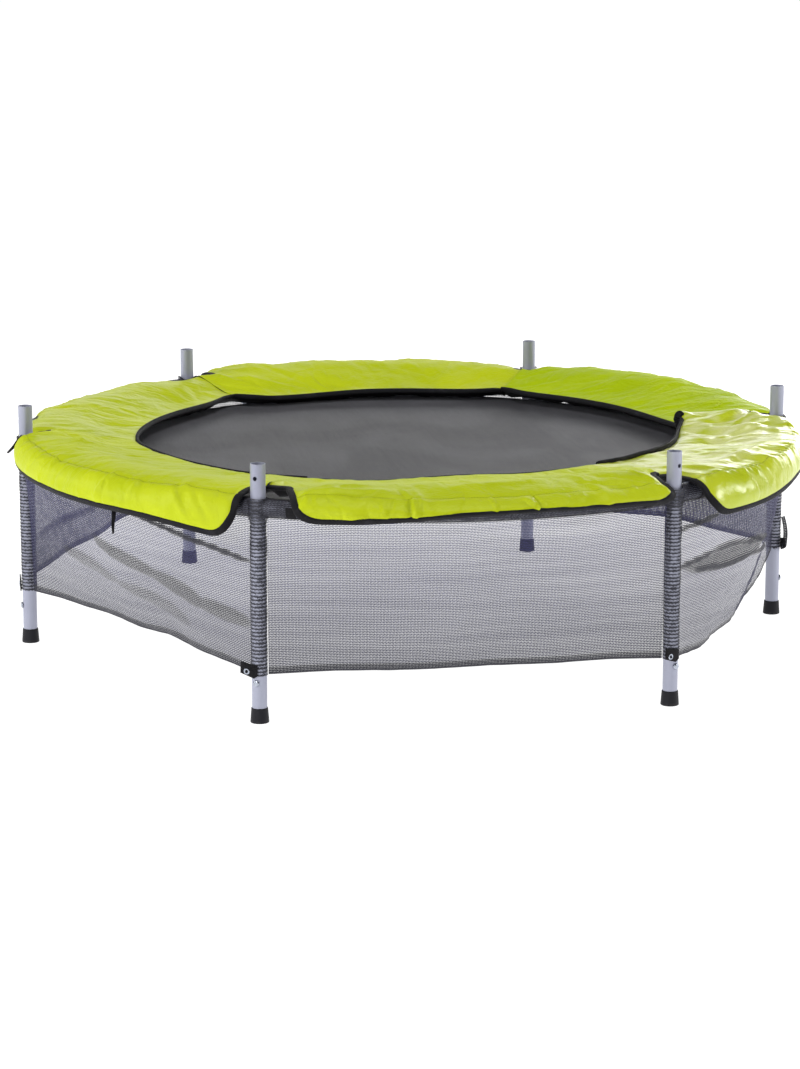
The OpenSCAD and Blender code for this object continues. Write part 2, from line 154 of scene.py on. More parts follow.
class Graph:
    """The node tree of one material."""

    def __init__(self, name: str) -> None:
        """Makes an empty material of that name with an output node."""
        self.material = bpy.data.materials.new(name)
        self.material.use_nodes = True
        self.tree = self.material.node_tree
        self.tree.nodes.clear()
        self.output = self.tree.nodes.new("ShaderNodeOutputMaterial")

    def feed(self, socket: bpy.types.NodeSocket, value: object) -> None:
        """Links a Value into the socket, or sets the socket's own number or colour."""
        if isinstance(value, Value):
            self.tree.links.new(value.socket, socket)
        elif socket.type in {"RGBA", "VECTOR"}:
            three = (value,) * 3 if isinstance(value, (int, float)) else tuple(value)
            socket.default_value = (*three, 1.0) if socket.type == "RGBA" else three
        else:
            socket.default_value = value

    def node(
        self,
        kind: str,
        settings: Mapping[str, object] = {},
        inputs: Mapping[int | str, object] = {},
        output: int | str = 0,
    ) -> Value:
        """Adds a node.

        Args:
            kind: The node's type.
            settings: Its properties, which are set first.
            inputs: Numbers, colours or Values for its sockets, by name or place.
            output: The socket to hand back.

        Returns:
            That output, ready for arithmetic.
        """
        made = self.tree.nodes.new(kind)
        for key, value in settings.items():
            setattr(made, key, value)
        for key, value in inputs.items():
            self.feed(made.inputs[key], value)
        return Value(self, made.outputs[output])

    def place(self) -> Value:
        """The surface point in the piece's own coordinates, in metres."""
        return self.node("ShaderNodeTexCoord", output="Object")

    def cloth(self) -> Value:
        """The surface point on the cut cloth: along and across it, in metres."""
        return self.node("ShaderNodeUVMap", {"uv_map": CUT_MAP})

    def noise(self, at: Value, scale: float, detail: float = 2.0, twist: float = 0.0) -> Value:
        """Soft noise from 0 to 1.

        Args:
            at: Where it is read.
            scale: Its lumps to the metre.
            detail: Its octaves.
            twist: How far it is distorted.

        Returns:
            The noise.
        """
        inputs = {"Vector": at, "Scale": scale, "Detail": detail, "Distortion": twist}
        return self.node("ShaderNodeTexNoise", inputs=inputs)

    def ridges(self, at: Value, scale: float, width: float = 0.12, twist: float = 0.6) -> Value:
        """Thin wandering creases, 1 at their crests and 0 between them."""
        return abs(self.noise(at, scale, 1.0, twist) - 0.5).step(width, 0.0)

    def mixed(self, first: object, second: object, share: object) -> Value:
        """The colour that lies that share of the way from the first to the second."""
        inputs = {0: share, 6: first, 7: second}
        return self.node("ShaderNodeMix", {"data_type": "RGBA"}, inputs, output=2)

    def surface(
        self, tint: Value, rough: object, height: Value | None = None, more: Mapping[str, object] = {}
    ) -> bpy.types.Material:
        """Gives the material a Principled shader.

        Args:
            tint: Its Base Color.
            rough: Its Roughness.
            height: The relief that bends its normal, in metres.
            more: Its other sockets, by name.

        Returns:
            The material.
        """
        sockets = {"Base Color": tint, "Roughness": rough, **more}
        if height is not None:
            raised = {"Strength": 1.0, "Distance": 1.0, "Height": height}
            sockets["Normal"] = self.node("ShaderNodeBump", inputs=raised)
        shader = self.node("ShaderNodeBsdfPrincipled", inputs=sockets)
        self.tree.links.new(shader.socket, self.output.inputs["Surface"])
        return self.material


class Finish:
    """A surface finish, made into a material the first time that it is used."""

    label = "finish"

    def draw(self, graph: Graph) -> bpy.types.Material:
        """Builds the material's nodes."""
        raise NotImplementedError

    def material(self) -> bpy.types.Material:
        """The finish's material, the same one for every piece."""
        return bpy.data.materials.get(self.label) or self.draw(Graph(self.label))


@dataclass(frozen=True)
class PaintedSteel(Finish):
    """Silver powder paint on a drawn steel tube, with faint scuffs."""

    label: str = "silver tube"
    light: Colour = (0.405, 0.42, 0.52)
    dark: Colour = (0.32, 0.33, 0.42)
    scuff: Colour = (0.24, 0.25, 0.27)
    peel_height: float = 0.00003

    def draw(self, graph: Graph) -> bpy.types.Material:
        """Builds cloudy silver paint with scuffs and a fine peel."""
        at = graph.place()
        cloud = graph.noise(at, 9.0, 3.0)
        drawn = graph.noise(at * (420.0, 420.0, 18.0), 1.0)
        scuffs = graph.noise(at * (60.0, 60.0, 240.0), 1.0, 4.0, 1.5).step(0.66, 0.74)
        tint = graph.mixed(self.dark, self.light, cloud.step(0.25, 0.6) * 0.7 + drawn * 0.3)
        tint = graph.mixed(tint, self.scuff, scuffs * 0.35)
        peel = graph.noise(at, 900.0, 1.0) * self.peel_height
        return graph.surface(tint, 0.34 + 0.12 * cloud + 0.2 * scuffs, peel, {"Metallic": 0.35})


@dataclass(frozen=True)
class BrightPlate(Finish):
    """Bright zinc plate on a screw, an eyelet, a ring or a spring."""

    label: str = "bright plate"
    tint: Colour = (0.42, 0.45, 0.52)
    stain: Colour = (0.2, 0.21, 0.24)

    def draw(self, graph: Graph) -> bpy.types.Material:
        """Builds metal with a little tarnish and fine marks."""
        at = graph.place()
        tarnish = graph.noise(at, 160.0, 4.0).step(0.48, 0.75)
        tint = graph.mixed(self.tint, self.stain, tarnish * 0.45)
        marks = graph.noise(at, 2200.0) * 0.00002
        return graph.surface(tint, 0.22 + 0.2 * tarnish, marks, {"Metallic": 1.0})


@dataclass(frozen=True)
class MouldedRubber(Finish):
    """Black moulded rubber, dusty at its foot."""

    label: str = "foot rubber"
    tint: Colour = (0.008, 0.008, 0.012)
    dust: Colour = (0.04, 0.039, 0.04)
    dust_top: float = 0.007

    def draw(self, graph: Graph) -> bpy.types.Material:
        """Builds matt rubber that greys towards the floor."""
        at = graph.place()
        grain = graph.noise(at, 1400.0)
        dusty = at.parts()[2].step(self.dust_top, 0.0) * graph.noise(at, 240.0, 3.0).step(0.35, 0.7)
        tint = graph.mixed(self.tint, self.dust, dusty * 0.7)
        return graph.surface(tint, 0.42 + 0.22 * grain, grain * 0.00006, {"Specular IOR Level": 0.28})


@dataclass(frozen=True)
class CoatedCloth(Finish):
    """Coated polyester of the pad's cover, softly crinkled and stitched along its seam."""

    label: str = "lime cover"
    bright: Colour = (0.53, 0.608, 0.01)
    deep: Colour = (0.44, 0.525, 0.005)
    rough: float = 0.42
    crinkle: float = 0.0022
    shine: float = 0.0
    gloss: float = 0.17
    # The strength and colour of painted sheen: pale patches that stand in for a reflection.
    painted_sheen: float = 0.0
    pale: Colour = (0.78, 0.79, 0.42)
    seam_at: float = 0.223
    stitch_pitch: float = 0.0045
    thread_pitch: float = 0.0009

    def draw(self, graph: Graph) -> bpy.types.Material:
        """Builds the cloth from clouds of colour, crinkles, thread, stitches and painted sheen."""
        at = graph.place()
        along, across, _ = graph.cloth().parts()
        cloud = graph.noise(at, 6.0, 2.0, 0.5)
        soft = graph.noise(at, 26.0, 2.0, 0.6)
        fine = graph.noise(at * (1.0, 1.0, 1.5), 110.0, 3.0, 0.5)
        long = graph.ridges(graph.cloth() * (1.0, 0.55, 1.0), 17.0)
        short = graph.ridges(at, 44.0, 0.1, 1.2)
        weave = along.wave(self.thread_pitch) * across.wave(self.thread_pitch)
        hole = abs(along.wrapped(self.stitch_pitch)).step(0.75, 0.95)
        stitch = abs(across - self.seam_at).step(0.0018, 0.0006)
        rubbed = graph.noise(at, 48.0, 4.0, 1.0).step(0.6, 0.78)
        tint = graph.mixed(self.deep, self.bright, cloud.step(0.3, 0.7) * 0.7 + soft * 0.3)
        tint = graph.mixed(tint, [min(1.0, 1.12 * c + 0.01) for c in self.bright], rubbed * 0.35)
        # Painted sheen: pale patches over the panel's inner part, mixed into the colour in place of a
        # reflection.
        if self.painted_sheen:
            sheen_patch = graph.noise(at, 11.0, 3.0, 1.6).step(0.42, 0.6) * across.step(self.seam_at, 0.15)
            tint = graph.mixed(tint, self.pale, sheen_patch * self.painted_sheen)
        tint = graph.mixed(tint, [0.5 * c for c in self.deep], stitch * (0.35 + 0.5 * hole))
        height = soft * self.crinkle
        for wrinkle, share in ((long, 0.42), (short, 0.12), (fine, 0.09)):
            height = height + wrinkle * (self.crinkle * share)
        return graph.surface(
            tint,
            self.rough + 0.14 * cloud + 0.08 * rubbed,
            height + weave * 0.000008 - stitch * hole * 0.0007,
            {"Specular IOR Level": self.gloss, "Coat Weight": self.shine, "Coat Roughness": 0.24},
        )


@dataclass(frozen=True)
class RibbedTape(Finish):
    """Black woven tape with a rib across it."""

    label: str = "black tape"
    tint: Colour = (0.005, 0.0048, 0.006)
    pale_tone: Colour = (0.034, 0.032, 0.04)
    rib_pitch: float = 0.0017
    edge_pitch: float = 0.0006

    def draw(self, graph: Graph) -> bpy.types.Material:
        """Builds ribbed cloth with a little lint and broad patches of painted sheen."""
        at = graph.place()
        along, across, _ = graph.cloth().parts()
        rib = along.wave(self.rib_pitch)
        lint = graph.noise(at, 520.0, 4.0).step(0.5, 0.8)
        # This noise gives the tape's pressed relief and its broad pale patches, which are painted sheen;
        # lint and rib crests also lighten it.
        pressed_and_sheen = graph.noise(at, 36.0, 3.0)
        lint_and_sheen = lint * 0.4 + rib.step(0.2, 1.0) * 0.15 + pressed_and_sheen.step(0.52, 0.8) * 0.5
        height = rib * 0.00012 + across.wave(self.edge_pitch) * 0.00003 + lint * 0.0001 + pressed_and_sheen * 0.0012
        return graph.surface(
            graph.mixed(self.tint, self.pale_tone, lint_and_sheen),
            0.7 + 0.14 * lint,
            height,
            {"Specular IOR Level": 0.16, "Sheen Weight": 0.04, "Sheen Roughness": 0.4},
        )


@dataclass(frozen=True)
class TapeWeave(Finish):
    """Dark plain weave of flat polypropylene tapes on the jump mat."""

    label: str = "mat weave"
    tint: Colour = (0.032, 0.032, 0.037)
    pale_tone: Colour = (0.107, 0.107, 0.117)
    gap: Colour = (0.01, 0.01, 0.011)
    tape: float = 0.0024

    def draw(self, graph: Graph) -> bpy.types.Material:
        """Builds over-and-under tapes with streaks along them."""
        at = graph.place()
        x, y, _ = at.parts()
        over = x.wave(self.tape) * y.wave(self.tape)
        beside_x, beside_y = (abs(v.wrapped(self.tape / 2)).step(0.75, 1.0) for v in (x, y))
        edges = beside_x.larger(beside_y)
        weft, warp = (graph.noise(at * (a, b, 1.0), 1.0, 3.0) for a, b in ((9.0, 300.0), (300.0, 9.0)))
        cloud = graph.noise(at * (1.6, 1.0, 1.0), 3.4, 4.0, 0.5)
        share = weft.step(0.3, 0.7) * 0.34 + warp.step(0.3, 0.7) * 0.18 + cloud.step(0.37, 0.63) * 0.45
        tint = graph.mixed(graph.mixed(self.tint, self.pale_tone, share), self.gap, edges * 0.55)
        height = over * 0.00008 - edges * 0.00009 + weft * 0.00005
        return graph.surface(tint, 0.46 + 0.16 * weft, height, {"Specular IOR Level": 0.35})


@dataclass(frozen=True)
class KnittedNet(Finish):
    """Knitted netting: close ribs along it, with threads that cross them."""

    label: str = "dark netting"
    tint: Colour = (0.022, 0.022, 0.064)
    light: Colour = (0.07, 0.07, 0.205)
    deep: Colour = (0.019, 0.019, 0.026)
    deep_light: Colour = (0.062, 0.062, 0.08)
    rib_pitch: float = 0.0031
    rib_share: float = 0.48
    cross_pitch: float = 0.006
    cross_share: float = 0.2
    doubled_share: float = 0.46
    streaks: float = 0.26
    sharp: float = 3.2
    fluff: float = 0.265
    solid: float = 0.6

    def draw(self, graph: Graph) -> bpy.types.Material:
        """Builds the ribs and cross threads as alpha, thicker where layers double."""
        at = graph.place()
        along, across, _ = graph.cloth().parts()
        layers = graph.node("ShaderNodeAttribute", {"attribute_name": LAYERS}, output="Fac")
        uneven = graph.noise(at, 22.0, 1.0) - 0.5
        wavy = across + (along.wave(self.cross_pitch) * 0.0003 + uneven * 0.0012)
        rows = abs(wavy.wrapped(self.rib_pitch))
        other_row = wavy.wrapped(2 * self.rib_pitch).step(-0.02, 0.02)
        staggered = along + other_row * (self.cross_pitch * 0.4) + uneven * 0.004
        columns = abs(staggered.wrapped(self.cross_pitch))
        thick = graph.noise(at, 260.0, 1.0) * 0.06 - 0.03
        streak = graph.noise(graph.cloth() * (2.2, 52.0, 1.0), 1.0, 3.0) - 0.5
        more = layers * self.doubled_share + thick + streak * self.streaks
        thread = self._thread(rows, self.rib_share + more).larger(
            self._thread(columns, self.cross_share + more)
        )
        fuzz = graph.noise(at, 900.0)
        dense = layers.step(0.04, 0.4)
        dark = graph.mixed(self.tint, self.deep, dense)
        pale = graph.mixed(self.light, self.deep_light, dense)
        alpha = self.fluff + thread * (self.solid + (1 - self.solid - self.fluff) * dense)
        return graph.surface(
            graph.mixed(dark, pale, fuzz.step(0.35, 0.75)),
            0.6 + 0.2 * fuzz,
            (1.0 - rows) * 0.0003 + fuzz * 0.0001,
            {"Specular IOR Level": 0.3, "Alpha": alpha},
        )

    def _thread(self, distance: Value, share: Value) -> Value:
        """1 on a thread that covers that share of its period, and 0 in the gap."""
        return ((share - distance) * self.sharp + 0.5).step(0.0, 1.0, smooth_ends=False)


STEEL, PLATE, RUBBER = PaintedSteel(), BrightPlate(), MouldedRubber()
TAPE, WEAVE, NET = RibbedTape(), TapeWeave(), KnittedNet()
CLOSE_NET = KnittedNet("close netting", tint=(0.02, 0.02, 0.027), light=(0.078, 0.078, 0.1))
SLEEVE_NET = KnittedNet(
    "sleeve netting", tint=(0.02, 0.02, 0.026), light=(0.07, 0.07, 0.088),
    rib_pitch=0.006, rib_share=0.52, sharp=4.5, fluff=0.05, solid=0.86,
)
LINING = CoatedCloth(
    "black backing", (0.013, 0.013, 0.015), (0.007, 0.007, 0.008), rough=0.6, crinkle=0.0015, gloss=0.2
)
# Bay 2's shiny cover, which also has pale patches of painted sheen.
GLOSSY = CoatedCloth(
    "lime cover shiny", (0.56, 0.63, 0.02), (0.46, 0.55, 0.01),
    rough=0.29, crinkle=0.0012, shine=0.3, gloss=0.6, painted_sheen=0.62,
)
SATIN = CoatedCloth("lime cover satin", gloss=0.36, rough=0.36)
# Bay 3's cover: the same cloth in darker colours that are painted shade, with less gloss.
SHADED = CoatedCloth("lime cover painted shade", (0.44, 0.56, 0.006), (0.37, 0.49, 0.004), gloss=0.07, rough=0.5)


# ---------- meshes


def mesh_object(
    name: str, points: Array, faces: Sequence[Sequence[int]], cut: Array | None = None
) -> Piece:
    """Makes a smooth mesh object in the scene.

    Args:
        name: The piece's name.
        points: Its vertices, n by 3.
        faces: Vertex numbers of each face.
        cut: Each vertex's place on the flat cloth, n by 2, in metres.

    Returns:
        The object.
    """
    mesh = bpy.data.meshes.new(name)
    mesh.from_pydata(points.tolist(), [], [list(f) for f in faces])
    if cut is not None:
        corners = np.empty(len(mesh.loops), dtype=np.int32)
        mesh.loops.foreach_get("vertex_index", corners)
        layer = mesh.uv_layers.new(name=CUT_MAP)
        layer.data.foreach_set("uv", cut[corners].astype(np.float32).ravel())
    return placed(name, mesh)


def placed(name: str, mesh: bpy.types.Mesh) -> Piece:
    """Puts a mesh in the scene, shaded smooth, as an object of that name."""
    mesh.shade_smooth()
    made = bpy.data.objects.new(name, mesh)
    bpy.context.scene.collection.objects.link(made)
    return made


def lattice(rows: int, columns: int, wrap: bool = False, first: int = 0, flip: bool = False) -> list:
    """The faces of a grid whose vertices run row by row.

    Args:
        rows: Its rows of vertices.
        columns: Its vertices in a row.
        wrap: Whether the last column joins the first.
        first: The number of its first vertex.
        flip: Whether its faces look the other way.

    Returns:
        The faces.
    """
    made = []
    for r in range(rows - 1):
        for c in range(columns if wrap else columns - 1):
            d = (c + 1) % columns
            a, b = first + r * columns, first + (r + 1) * columns
            face = (a + c, a + d, b + d, b + c)
            made.append(face[::-1] if flip else face)
    return made


def grid_object(name: str, points: Array, cut: Array) -> Piece:
    """An open sheet from a grid of points and their places on the flat cloth."""
    faces = lattice(*points.shape[:2])
    return mesh_object(name, points.reshape(-1, 3), faces, cut.reshape(-1, 2))


def settle(piece: Piece, finish: Finish, node: str) -> Piece:
    """Dresses a piece that rides on the frame.

    Args:
        piece: The piece.
        finish: Its finish.
        node: The CAD node that it stands for.

    Returns:
        The piece.
    """
    piece.data.materials.append(finish.material())
    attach(piece, Body.FRAME.value)
    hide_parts(node)
    return piece


def unit(vectors: Array) -> Array:
    """The vectors at length 1."""
    return vectors / np.maximum(np.linalg.norm(vectors, axis=-1, keepdims=True), 1e-12)


def around(radius: Array, bearing: Array, height: Array) -> Array:
    """Points at that radius, bearing in radians and height."""
    flat = radius * np.cos(bearing), radius * np.sin(bearing)
    return np.stack(np.broadcast_arrays(*flat, height), -1)


def smooth(value: Array, low: float, high: float) -> Array:
    """0 below low and 1 above high, smooth between them."""
    share = np.clip((value - low) / (high - low), 0.0, 1.0)
    return share * share * (3 - 2 * share)


def through(values: Sequence[float], share: Array) -> Array:
    """A smooth curve through even samples, read at shares from 0 to 1."""
    knots = np.array([2 * values[0] - values[1], *values, 2 * values[-1] - values[-2]])
    at = np.clip(share, 0.0, 1.0) * (len(values) - 1)
    first = np.minimum(at.astype(int), len(values) - 2)
    t = at - first
    a, b, c, d = (knots[first + k] for k in range(4))
    return b + 0.5 * t * (c - a + t * (2 * a - 5 * b + 4 * c - d + t * (3 * (b - c) + d - a)))


def curve_through(knots: Array, share: Array) -> Array:
    """A smooth line through points in space, read at shares from 0 to 1."""
    return np.stack([through(knots[:, k], share) for k in range(3)], -1)


def lengths(path: Array) -> Array:
    """How far along the path each of its points lies."""
    return np.concatenate([[0.0], np.cumsum(np.linalg.norm(np.diff(path, axis=0), axis=1))])


def spread(path: Array, count: int) -> Array:
    """The path again, with that many points at even steps."""
    at = lengths(path)
    even = np.linspace(0.0, at[-1], count)
    return np.stack([np.interp(even, at, column) for column in path.T], -1)


def tape(name: str, path: Array, outward: Array, half_w: float, half_t: float) -> Piece:
    """A flat band with round edges and capped ends along a path.

    Args:
        name: The piece's name.
        path: The points that it follows, n by 3.
        outward: The direction of its width at each point, n by 3.
        half_w: Half its width.
        half_t: Half its thickness.

    Returns:
        The object.
    """
    turn = np.linspace(-math.pi / 2, math.pi / 2, 7)
    right = np.stack([half_w - half_t + half_t * np.cos(turn), half_t * np.sin(turn)], -1)
    section = np.concatenate([right, -right])
    forward = unit(np.gradient(path, axis=0))
    side = unit(outward - forward * np.sum(outward * forward, axis=1, keepdims=True))
    up = np.cross(forward, side)
    count, edge = len(path), len(section)
    points = path[:, None] + side[:, None] * section[None, :, :1] + up[:, None] * section[None, :, 1:]
    faces = lattice(count, edge, wrap=True)
    faces += [tuple(range(edge))[::-1], tuple((count - 1) * edge + k for k in range(edge))]
    cut = np.stack([np.repeat(lengths(path), edge), np.tile(lengths(section), count)], -1)
    return mesh_object(name, points.reshape(-1, 3), faces, cut)


def webbing(
    name: str, path: Array, outward: Array, half_w: float, half_t: float, node: str
) -> Piece:
    """A tape in black webbing that rides on the frame in place of that CAD node."""
    return settle(tape(name, path, outward, half_w, half_t), TAPE, node)


def wire(name: str, path: Array, radius: float, sides: int = 6, closed: bool = False) -> Piece:
    """A round wire along a path, as a mesh.

    Args:
        name: The piece's name.
        path: Its centre line, n by 3.
        radius: The wire's radius.
        sides: The faces round it.
        closed: Whether its end joins its start.

    Returns:
        The object.
    """
    curve = bpy.data.curves.new(name + "_line", "CURVE")
    curve.dimensions = "3D"
    curve.bevel_depth, curve.bevel_resolution = radius, max(0, sides // 2 - 2)
    curve.use_fill_caps = not closed
    line = curve.splines.new("POLY")
    line.points.add(len(path) - 1)
    line.points.foreach_set("co", np.concatenate([path, np.ones((len(path), 1))], 1).ravel())
    line.use_cyclic_u = closed
    holder = bpy.data.objects.new(name + "_line", curve)
    mesh = bpy.data.meshes.new_from_object(holder)
    mesh.name = name
    bpy.data.objects.remove(holder)
    bpy.data.curves.remove(curve)
    return placed(name, mesh)


def set_layers(piece: Piece, values: Array) -> None:
    """Stores how far each vertex's netting is doubled, from 0 to 1."""
    held = piece.data.attributes.new(LAYERS, "FLOAT", "POINT")
    held.data.foreach_set("value", values.astype(np.float32).ravel())


@dataclass(frozen=True)
class Ripples:
    """A smooth random field over flat cloth, the same on each run."""

    seed: int
    size: float
    stretch: float = 1.0
    waves: int = 22

    def at(self, along: Array, across: Array) -> Array:
        """Its value, about -1 to 1, at those places in metres."""
        draw = np.random.default_rng(self.seed)
        turn = draw.uniform(0, math.tau, self.waves)
        pace = math.tau / self.size * draw.uniform(0.6, 1.7, self.waves)
        phase = draw.uniform(0, math.tau, self.waves)
        total = np.zeros(np.broadcast(along, across).shape)
        for t, p, f in zip(turn, pace, phase):
            total += np.sin(p * (along * math.cos(t) + across * self.stretch * math.sin(t)) + f)
        return total / math.sqrt(self.waves / 2) / 2

    def creases(self, along: Array, across: Array, sharp: float) -> Array:
        """Narrow ridges, 0 to 1, where the field passes through zero."""
        return np.exp(-np.abs(self.at(along, across)) / (sharp * 0.3))


@dataclass(frozen=True)
class Crease:
    """A fold between two places on a panel, given as shares along and across it."""

    start: tuple[float, float]
    stop: tuple[float, float]
    height: float
    width: float
    lean: float = 0.0
    doubled: float = 0.0

    def mask(self, along: Array, across: Array, scale: tuple[float, float]) -> Array:
        """How far those places belong to it.

        Args:
            along: Places along the panel, in metres.
            across: Places across the panel, in metres.
            scale: The panel's length and width, in metres.

        Returns:
            From 0 outside it to about 1 on its crest.
        """
        a = np.array(self.start) * scale
        run = np.array(self.stop) * scale - a
        size = max(float(np.hypot(*run)), 1e-6)
        ahead = ((along - a[0]) * run[0] + (across - a[1]) * run[1]) / size
        share = np.clip(ahead / size, 0, 1)
        side = ((across - a[1]) * run[0] - (along - a[0]) * run[1]) / size
        beyond = ahead - share * size
        wide = self.width * np.where(side > 0, 1 + self.lean, 1 - self.lean)
        fade = np.sin(math.pi * np.clip(share, 0.06, 0.94)) ** 0.6
        return fade * np.exp(-((side / wide) ** 2) - (beyond / self.width) ** 2)


def folds(*rows: Sequence[float]) -> tuple[Crease, ...]:
    """Creases from rows of start, stop, height, width and, where it has one, lean."""
    return tuple(Crease(row[:2], row[2:4], *row[4:]) for row in rows)


def doubled_folds(*rows: Sequence[float]) -> tuple[Crease, ...]:
    """Creases from rows of start, stop, height, width and how far the cloth is doubled."""
    return tuple(Crease(row[:2], row[2:4], *row[4:6], doubled=row[6]) for row in rows)


@dataclass(frozen=True)
class Scatter:
    """Seeded folds strewn over a panel, each long and soft with one sharper side."""

    seed: int
    count: int
    height: float
    reach: tuple[float, float] = (0.05, 0.17)
    width: tuple[float, float] = (0.005, 0.012)
    turn: tuple[float, float] = (-0.9, 0.9)
    across: tuple[float, float] = (0.1, 0.95)

    def folds(self, scale: tuple[float, float]) -> list[Crease]:
        """The folds on a panel of that length and width."""
        draw = np.random.default_rng(self.seed)
        made = []
        for _ in range(self.count):
            middle = np.array([draw.uniform(0.02, 0.98) * scale[0], draw.uniform(*self.across) * scale[1]])
            angle = math.pi / 2 + draw.uniform(*self.turn)
            half = draw.uniform(*self.reach) / 2 * np.array([math.cos(angle), math.sin(angle)])
            height = self.height * draw.uniform(0.35, 1.0) * draw.choice([-1.0, 1.0])
            ends = tuple((middle - half) / scale), tuple((middle + half) / scale)
            made.append(Crease(*ends, height, draw.uniform(*self.width), draw.uniform(-0.7, 0.7)))
        return made


# ---------- frame


@dataclass(frozen=True)
class Layout:
    """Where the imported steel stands, in metres, measured on its nodes."""

    posts: int
    ring_r: float
    ring_h: float
    tube_r: float
    joint_h: float
    mat_r: float
    mat_top: float
    hems: Samples

    @classmethod
    def measured(cls) -> "Layout":
        """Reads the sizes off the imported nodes."""
        posts = sum(1 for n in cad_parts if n.startswith("leg_") and n[4:].isdigit())
        low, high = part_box("leg_3")
        ring_low, ring_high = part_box("frame_tube_1")
        mat_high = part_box("jump_mat")[1]
        return cls(
            posts=posts,
            ring_r=(low[0] + high[0]) / 2,
            ring_h=(ring_low[2] + ring_high[2]) / 2,
            tube_r=(high[0] - low[0]) / 2,
            joint_h=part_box("upright_1")[0][2],
            mat_r=mat_high[0],
            mat_top=mat_high[2],
            hems=tuple(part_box(f"leg_sleeve_{i + 1}")[0][2] for i in range(posts)),
        )

    @property
    def bay(self) -> float:
        """The angle of one bay, in radians."""
        return math.tau / self.posts

    @property
    def bay_run(self) -> float:
        """The length of one bay along the ring's centre line."""
        return self.bay * self.ring_r

    def bearing(self, post: int) -> float:
        """The bearing of an upright, in radians."""
        return -math.pi + self.bay * post

    def on_post(self, post: int, out: float = 0.0, left: float = 0.0, height: float = 0.0) -> Array:
        """A point beside an upright: out from the middle, to its left, and up."""
        a, r = self.bearing(post), self.ring_r + out
        c, s = math.cos(a), math.sin(a)
        return np.array([r * c - left * s, r * s + left * c, height])


@dataclass
class FrameSteel:
    """The carried-over steel and rubber, which takes better finishes."""

    finishes: tuple[tuple[str, Finish], ...] = (
        ("frame_tube_", STEEL), ("upright_", STEEL), ("leg_screws", PLATE),
        ("leg_", STEEL), ("foot_cap_", RUBBER), ("net_eyelets", PLATE),
    )

    def dress(self) -> int:
        """Gives each kept node its finish, and returns how many there are."""
        dressed = 0
        for node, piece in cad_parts.items():
            finish = next((f for start, f in self.finishes if node.startswith(start)), None)
            if finish and "sleeve" not in node:
                piece.data.materials.clear()
                piece.data.materials.append(finish.material())
                dressed += 1
        return dressed


@dataclass(frozen=True)
class Lamp:
    """A soft rectangular lamp: place and size in metres, power in watts."""

    name: str
    place: Point
    size: tuple[float, float]
    power: float
    aim: Point = (0.0, 0.0, 0.3)

    def build(self) -> None:
        """Adds the lamp to the scene."""
        data = bpy.data.lights.new(self.name, "AREA")
        data.shape, data.energy = "RECTANGLE", self.power
        data.size, data.size_y = self.size
        lamp = bpy.data.objects.new(self.name, data)
        lamp.location = self.place
        toward = Vector(self.aim) - Vector(self.place)
        lamp.rotation_euler = toward.to_track_quat("-Z", "Y").to_euler()
        lamp.visible_camera = False
        bpy.context.scene.collection.objects.link(lamp)


@dataclass
class Studio:
    """Camera, floor and soft light."""

    place: Point = (-0.9161, -5.5193, 1.3946)
    azimuth: float = -9.273
    elevation: float = 12.315
    roll: float = 0.062
    lens: float = 105.87
    sensor: float = 36.0
    far: float = 200.0
    floor_half: float = 60.0
    floor_glow: float = 1.0
    floor_tint: float = 0.35
    sky: float = 0.02
    lamps: tuple[Lamp, ...] = (
        Lamp("key", (-3.4, -4.6, 2.7), (2.2, 1.6), 130.0),
        Lamp("left", (-5.0, -0.5, 2.2), (2.2, 1.6), 112.0),
        Lamp("left_back", (-4.0, 3.0, 1.8), (2.2, 1.6), 32.0),
        Lamp("right", (5.0, -1.0, 2.2), (2.2, 1.6), 140.0),
        Lamp("right_back", (3.3, 4.2, 1.0), (3.0, 1.5), 115.0),
        Lamp("back", (0.5, 5.5, 1.6), (4.0, 1.2), 34.0),
        Lamp("top", (0.0, 0.0, 4.4), (2.0, 2.0), 76.0),
    )

    def build(self) -> None:
        """Sets up all of it."""
        self._camera()
        self._floor()
        self._sky()
        for lamp in self.lamps:
            lamp.build()
        bpy.context.scene.view_settings.view_transform = "Standard"

    def _camera(self) -> None:
        """Puts the camera at its viewpoint."""
        a, e, r = (math.radians(x) for x in (self.azimuth, self.elevation, self.roll))
        back = Vector((math.sin(a) * math.cos(e), -math.cos(a) * math.cos(e), math.sin(e)))
        right = (-back).cross(Vector((0, 0, 1))).normalized()
        up = right.cross(-back)
        side = right * math.cos(r) + up * math.sin(r)
        top = up * math.cos(r) - right * math.sin(r)
        data = bpy.data.cameras.new("camera")
        data.lens, data.sensor_width, data.clip_end = self.lens, self.sensor, self.far
        camera = bpy.data.objects.new("camera", data)
        axes = Matrix((side, top, back)).transposed().to_4x4()
        camera.matrix_world = Matrix.Translation(self.place) @ axes
        bpy.context.scene.collection.objects.link(camera)
        bpy.context.scene.camera = camera

    def _floor(self) -> None:
        """Lays a wide pale floor that glows a little, as a lit white sweep does."""
        corners = np.array([[-1, -1, 0], [1, -1, 0], [1, 1, 0], [-1, 1, 0]]) * self.floor_half
        floor = mesh_object("floor", corners, [(0, 1, 2, 3)])
        graph = Graph("pale floor")
        cloud = graph.noise(graph.place(), 1.5)
        tint = graph.mixed(self.floor_tint, 1.08 * self.floor_tint, cloud)
        glow = {"Emission Color": (1.0, 1.0, 1.0), "Emission Strength": self.floor_glow}
        floor.data.materials.append(graph.surface(tint, 0.9, more={"Specular IOR Level": 0.1, **glow}))

    def _sky(self) -> None:
        """Fills the scene with even white light."""
        world = bpy.data.worlds.new("studio")
        world.use_nodes = True
        light = world.node_tree.nodes["Background"].inputs
        light["Color"].default_value, light["Strength"].default_value = (1, 1, 1, 1), self.sky
        bpy.context.scene.world = world


# ---------- suspension


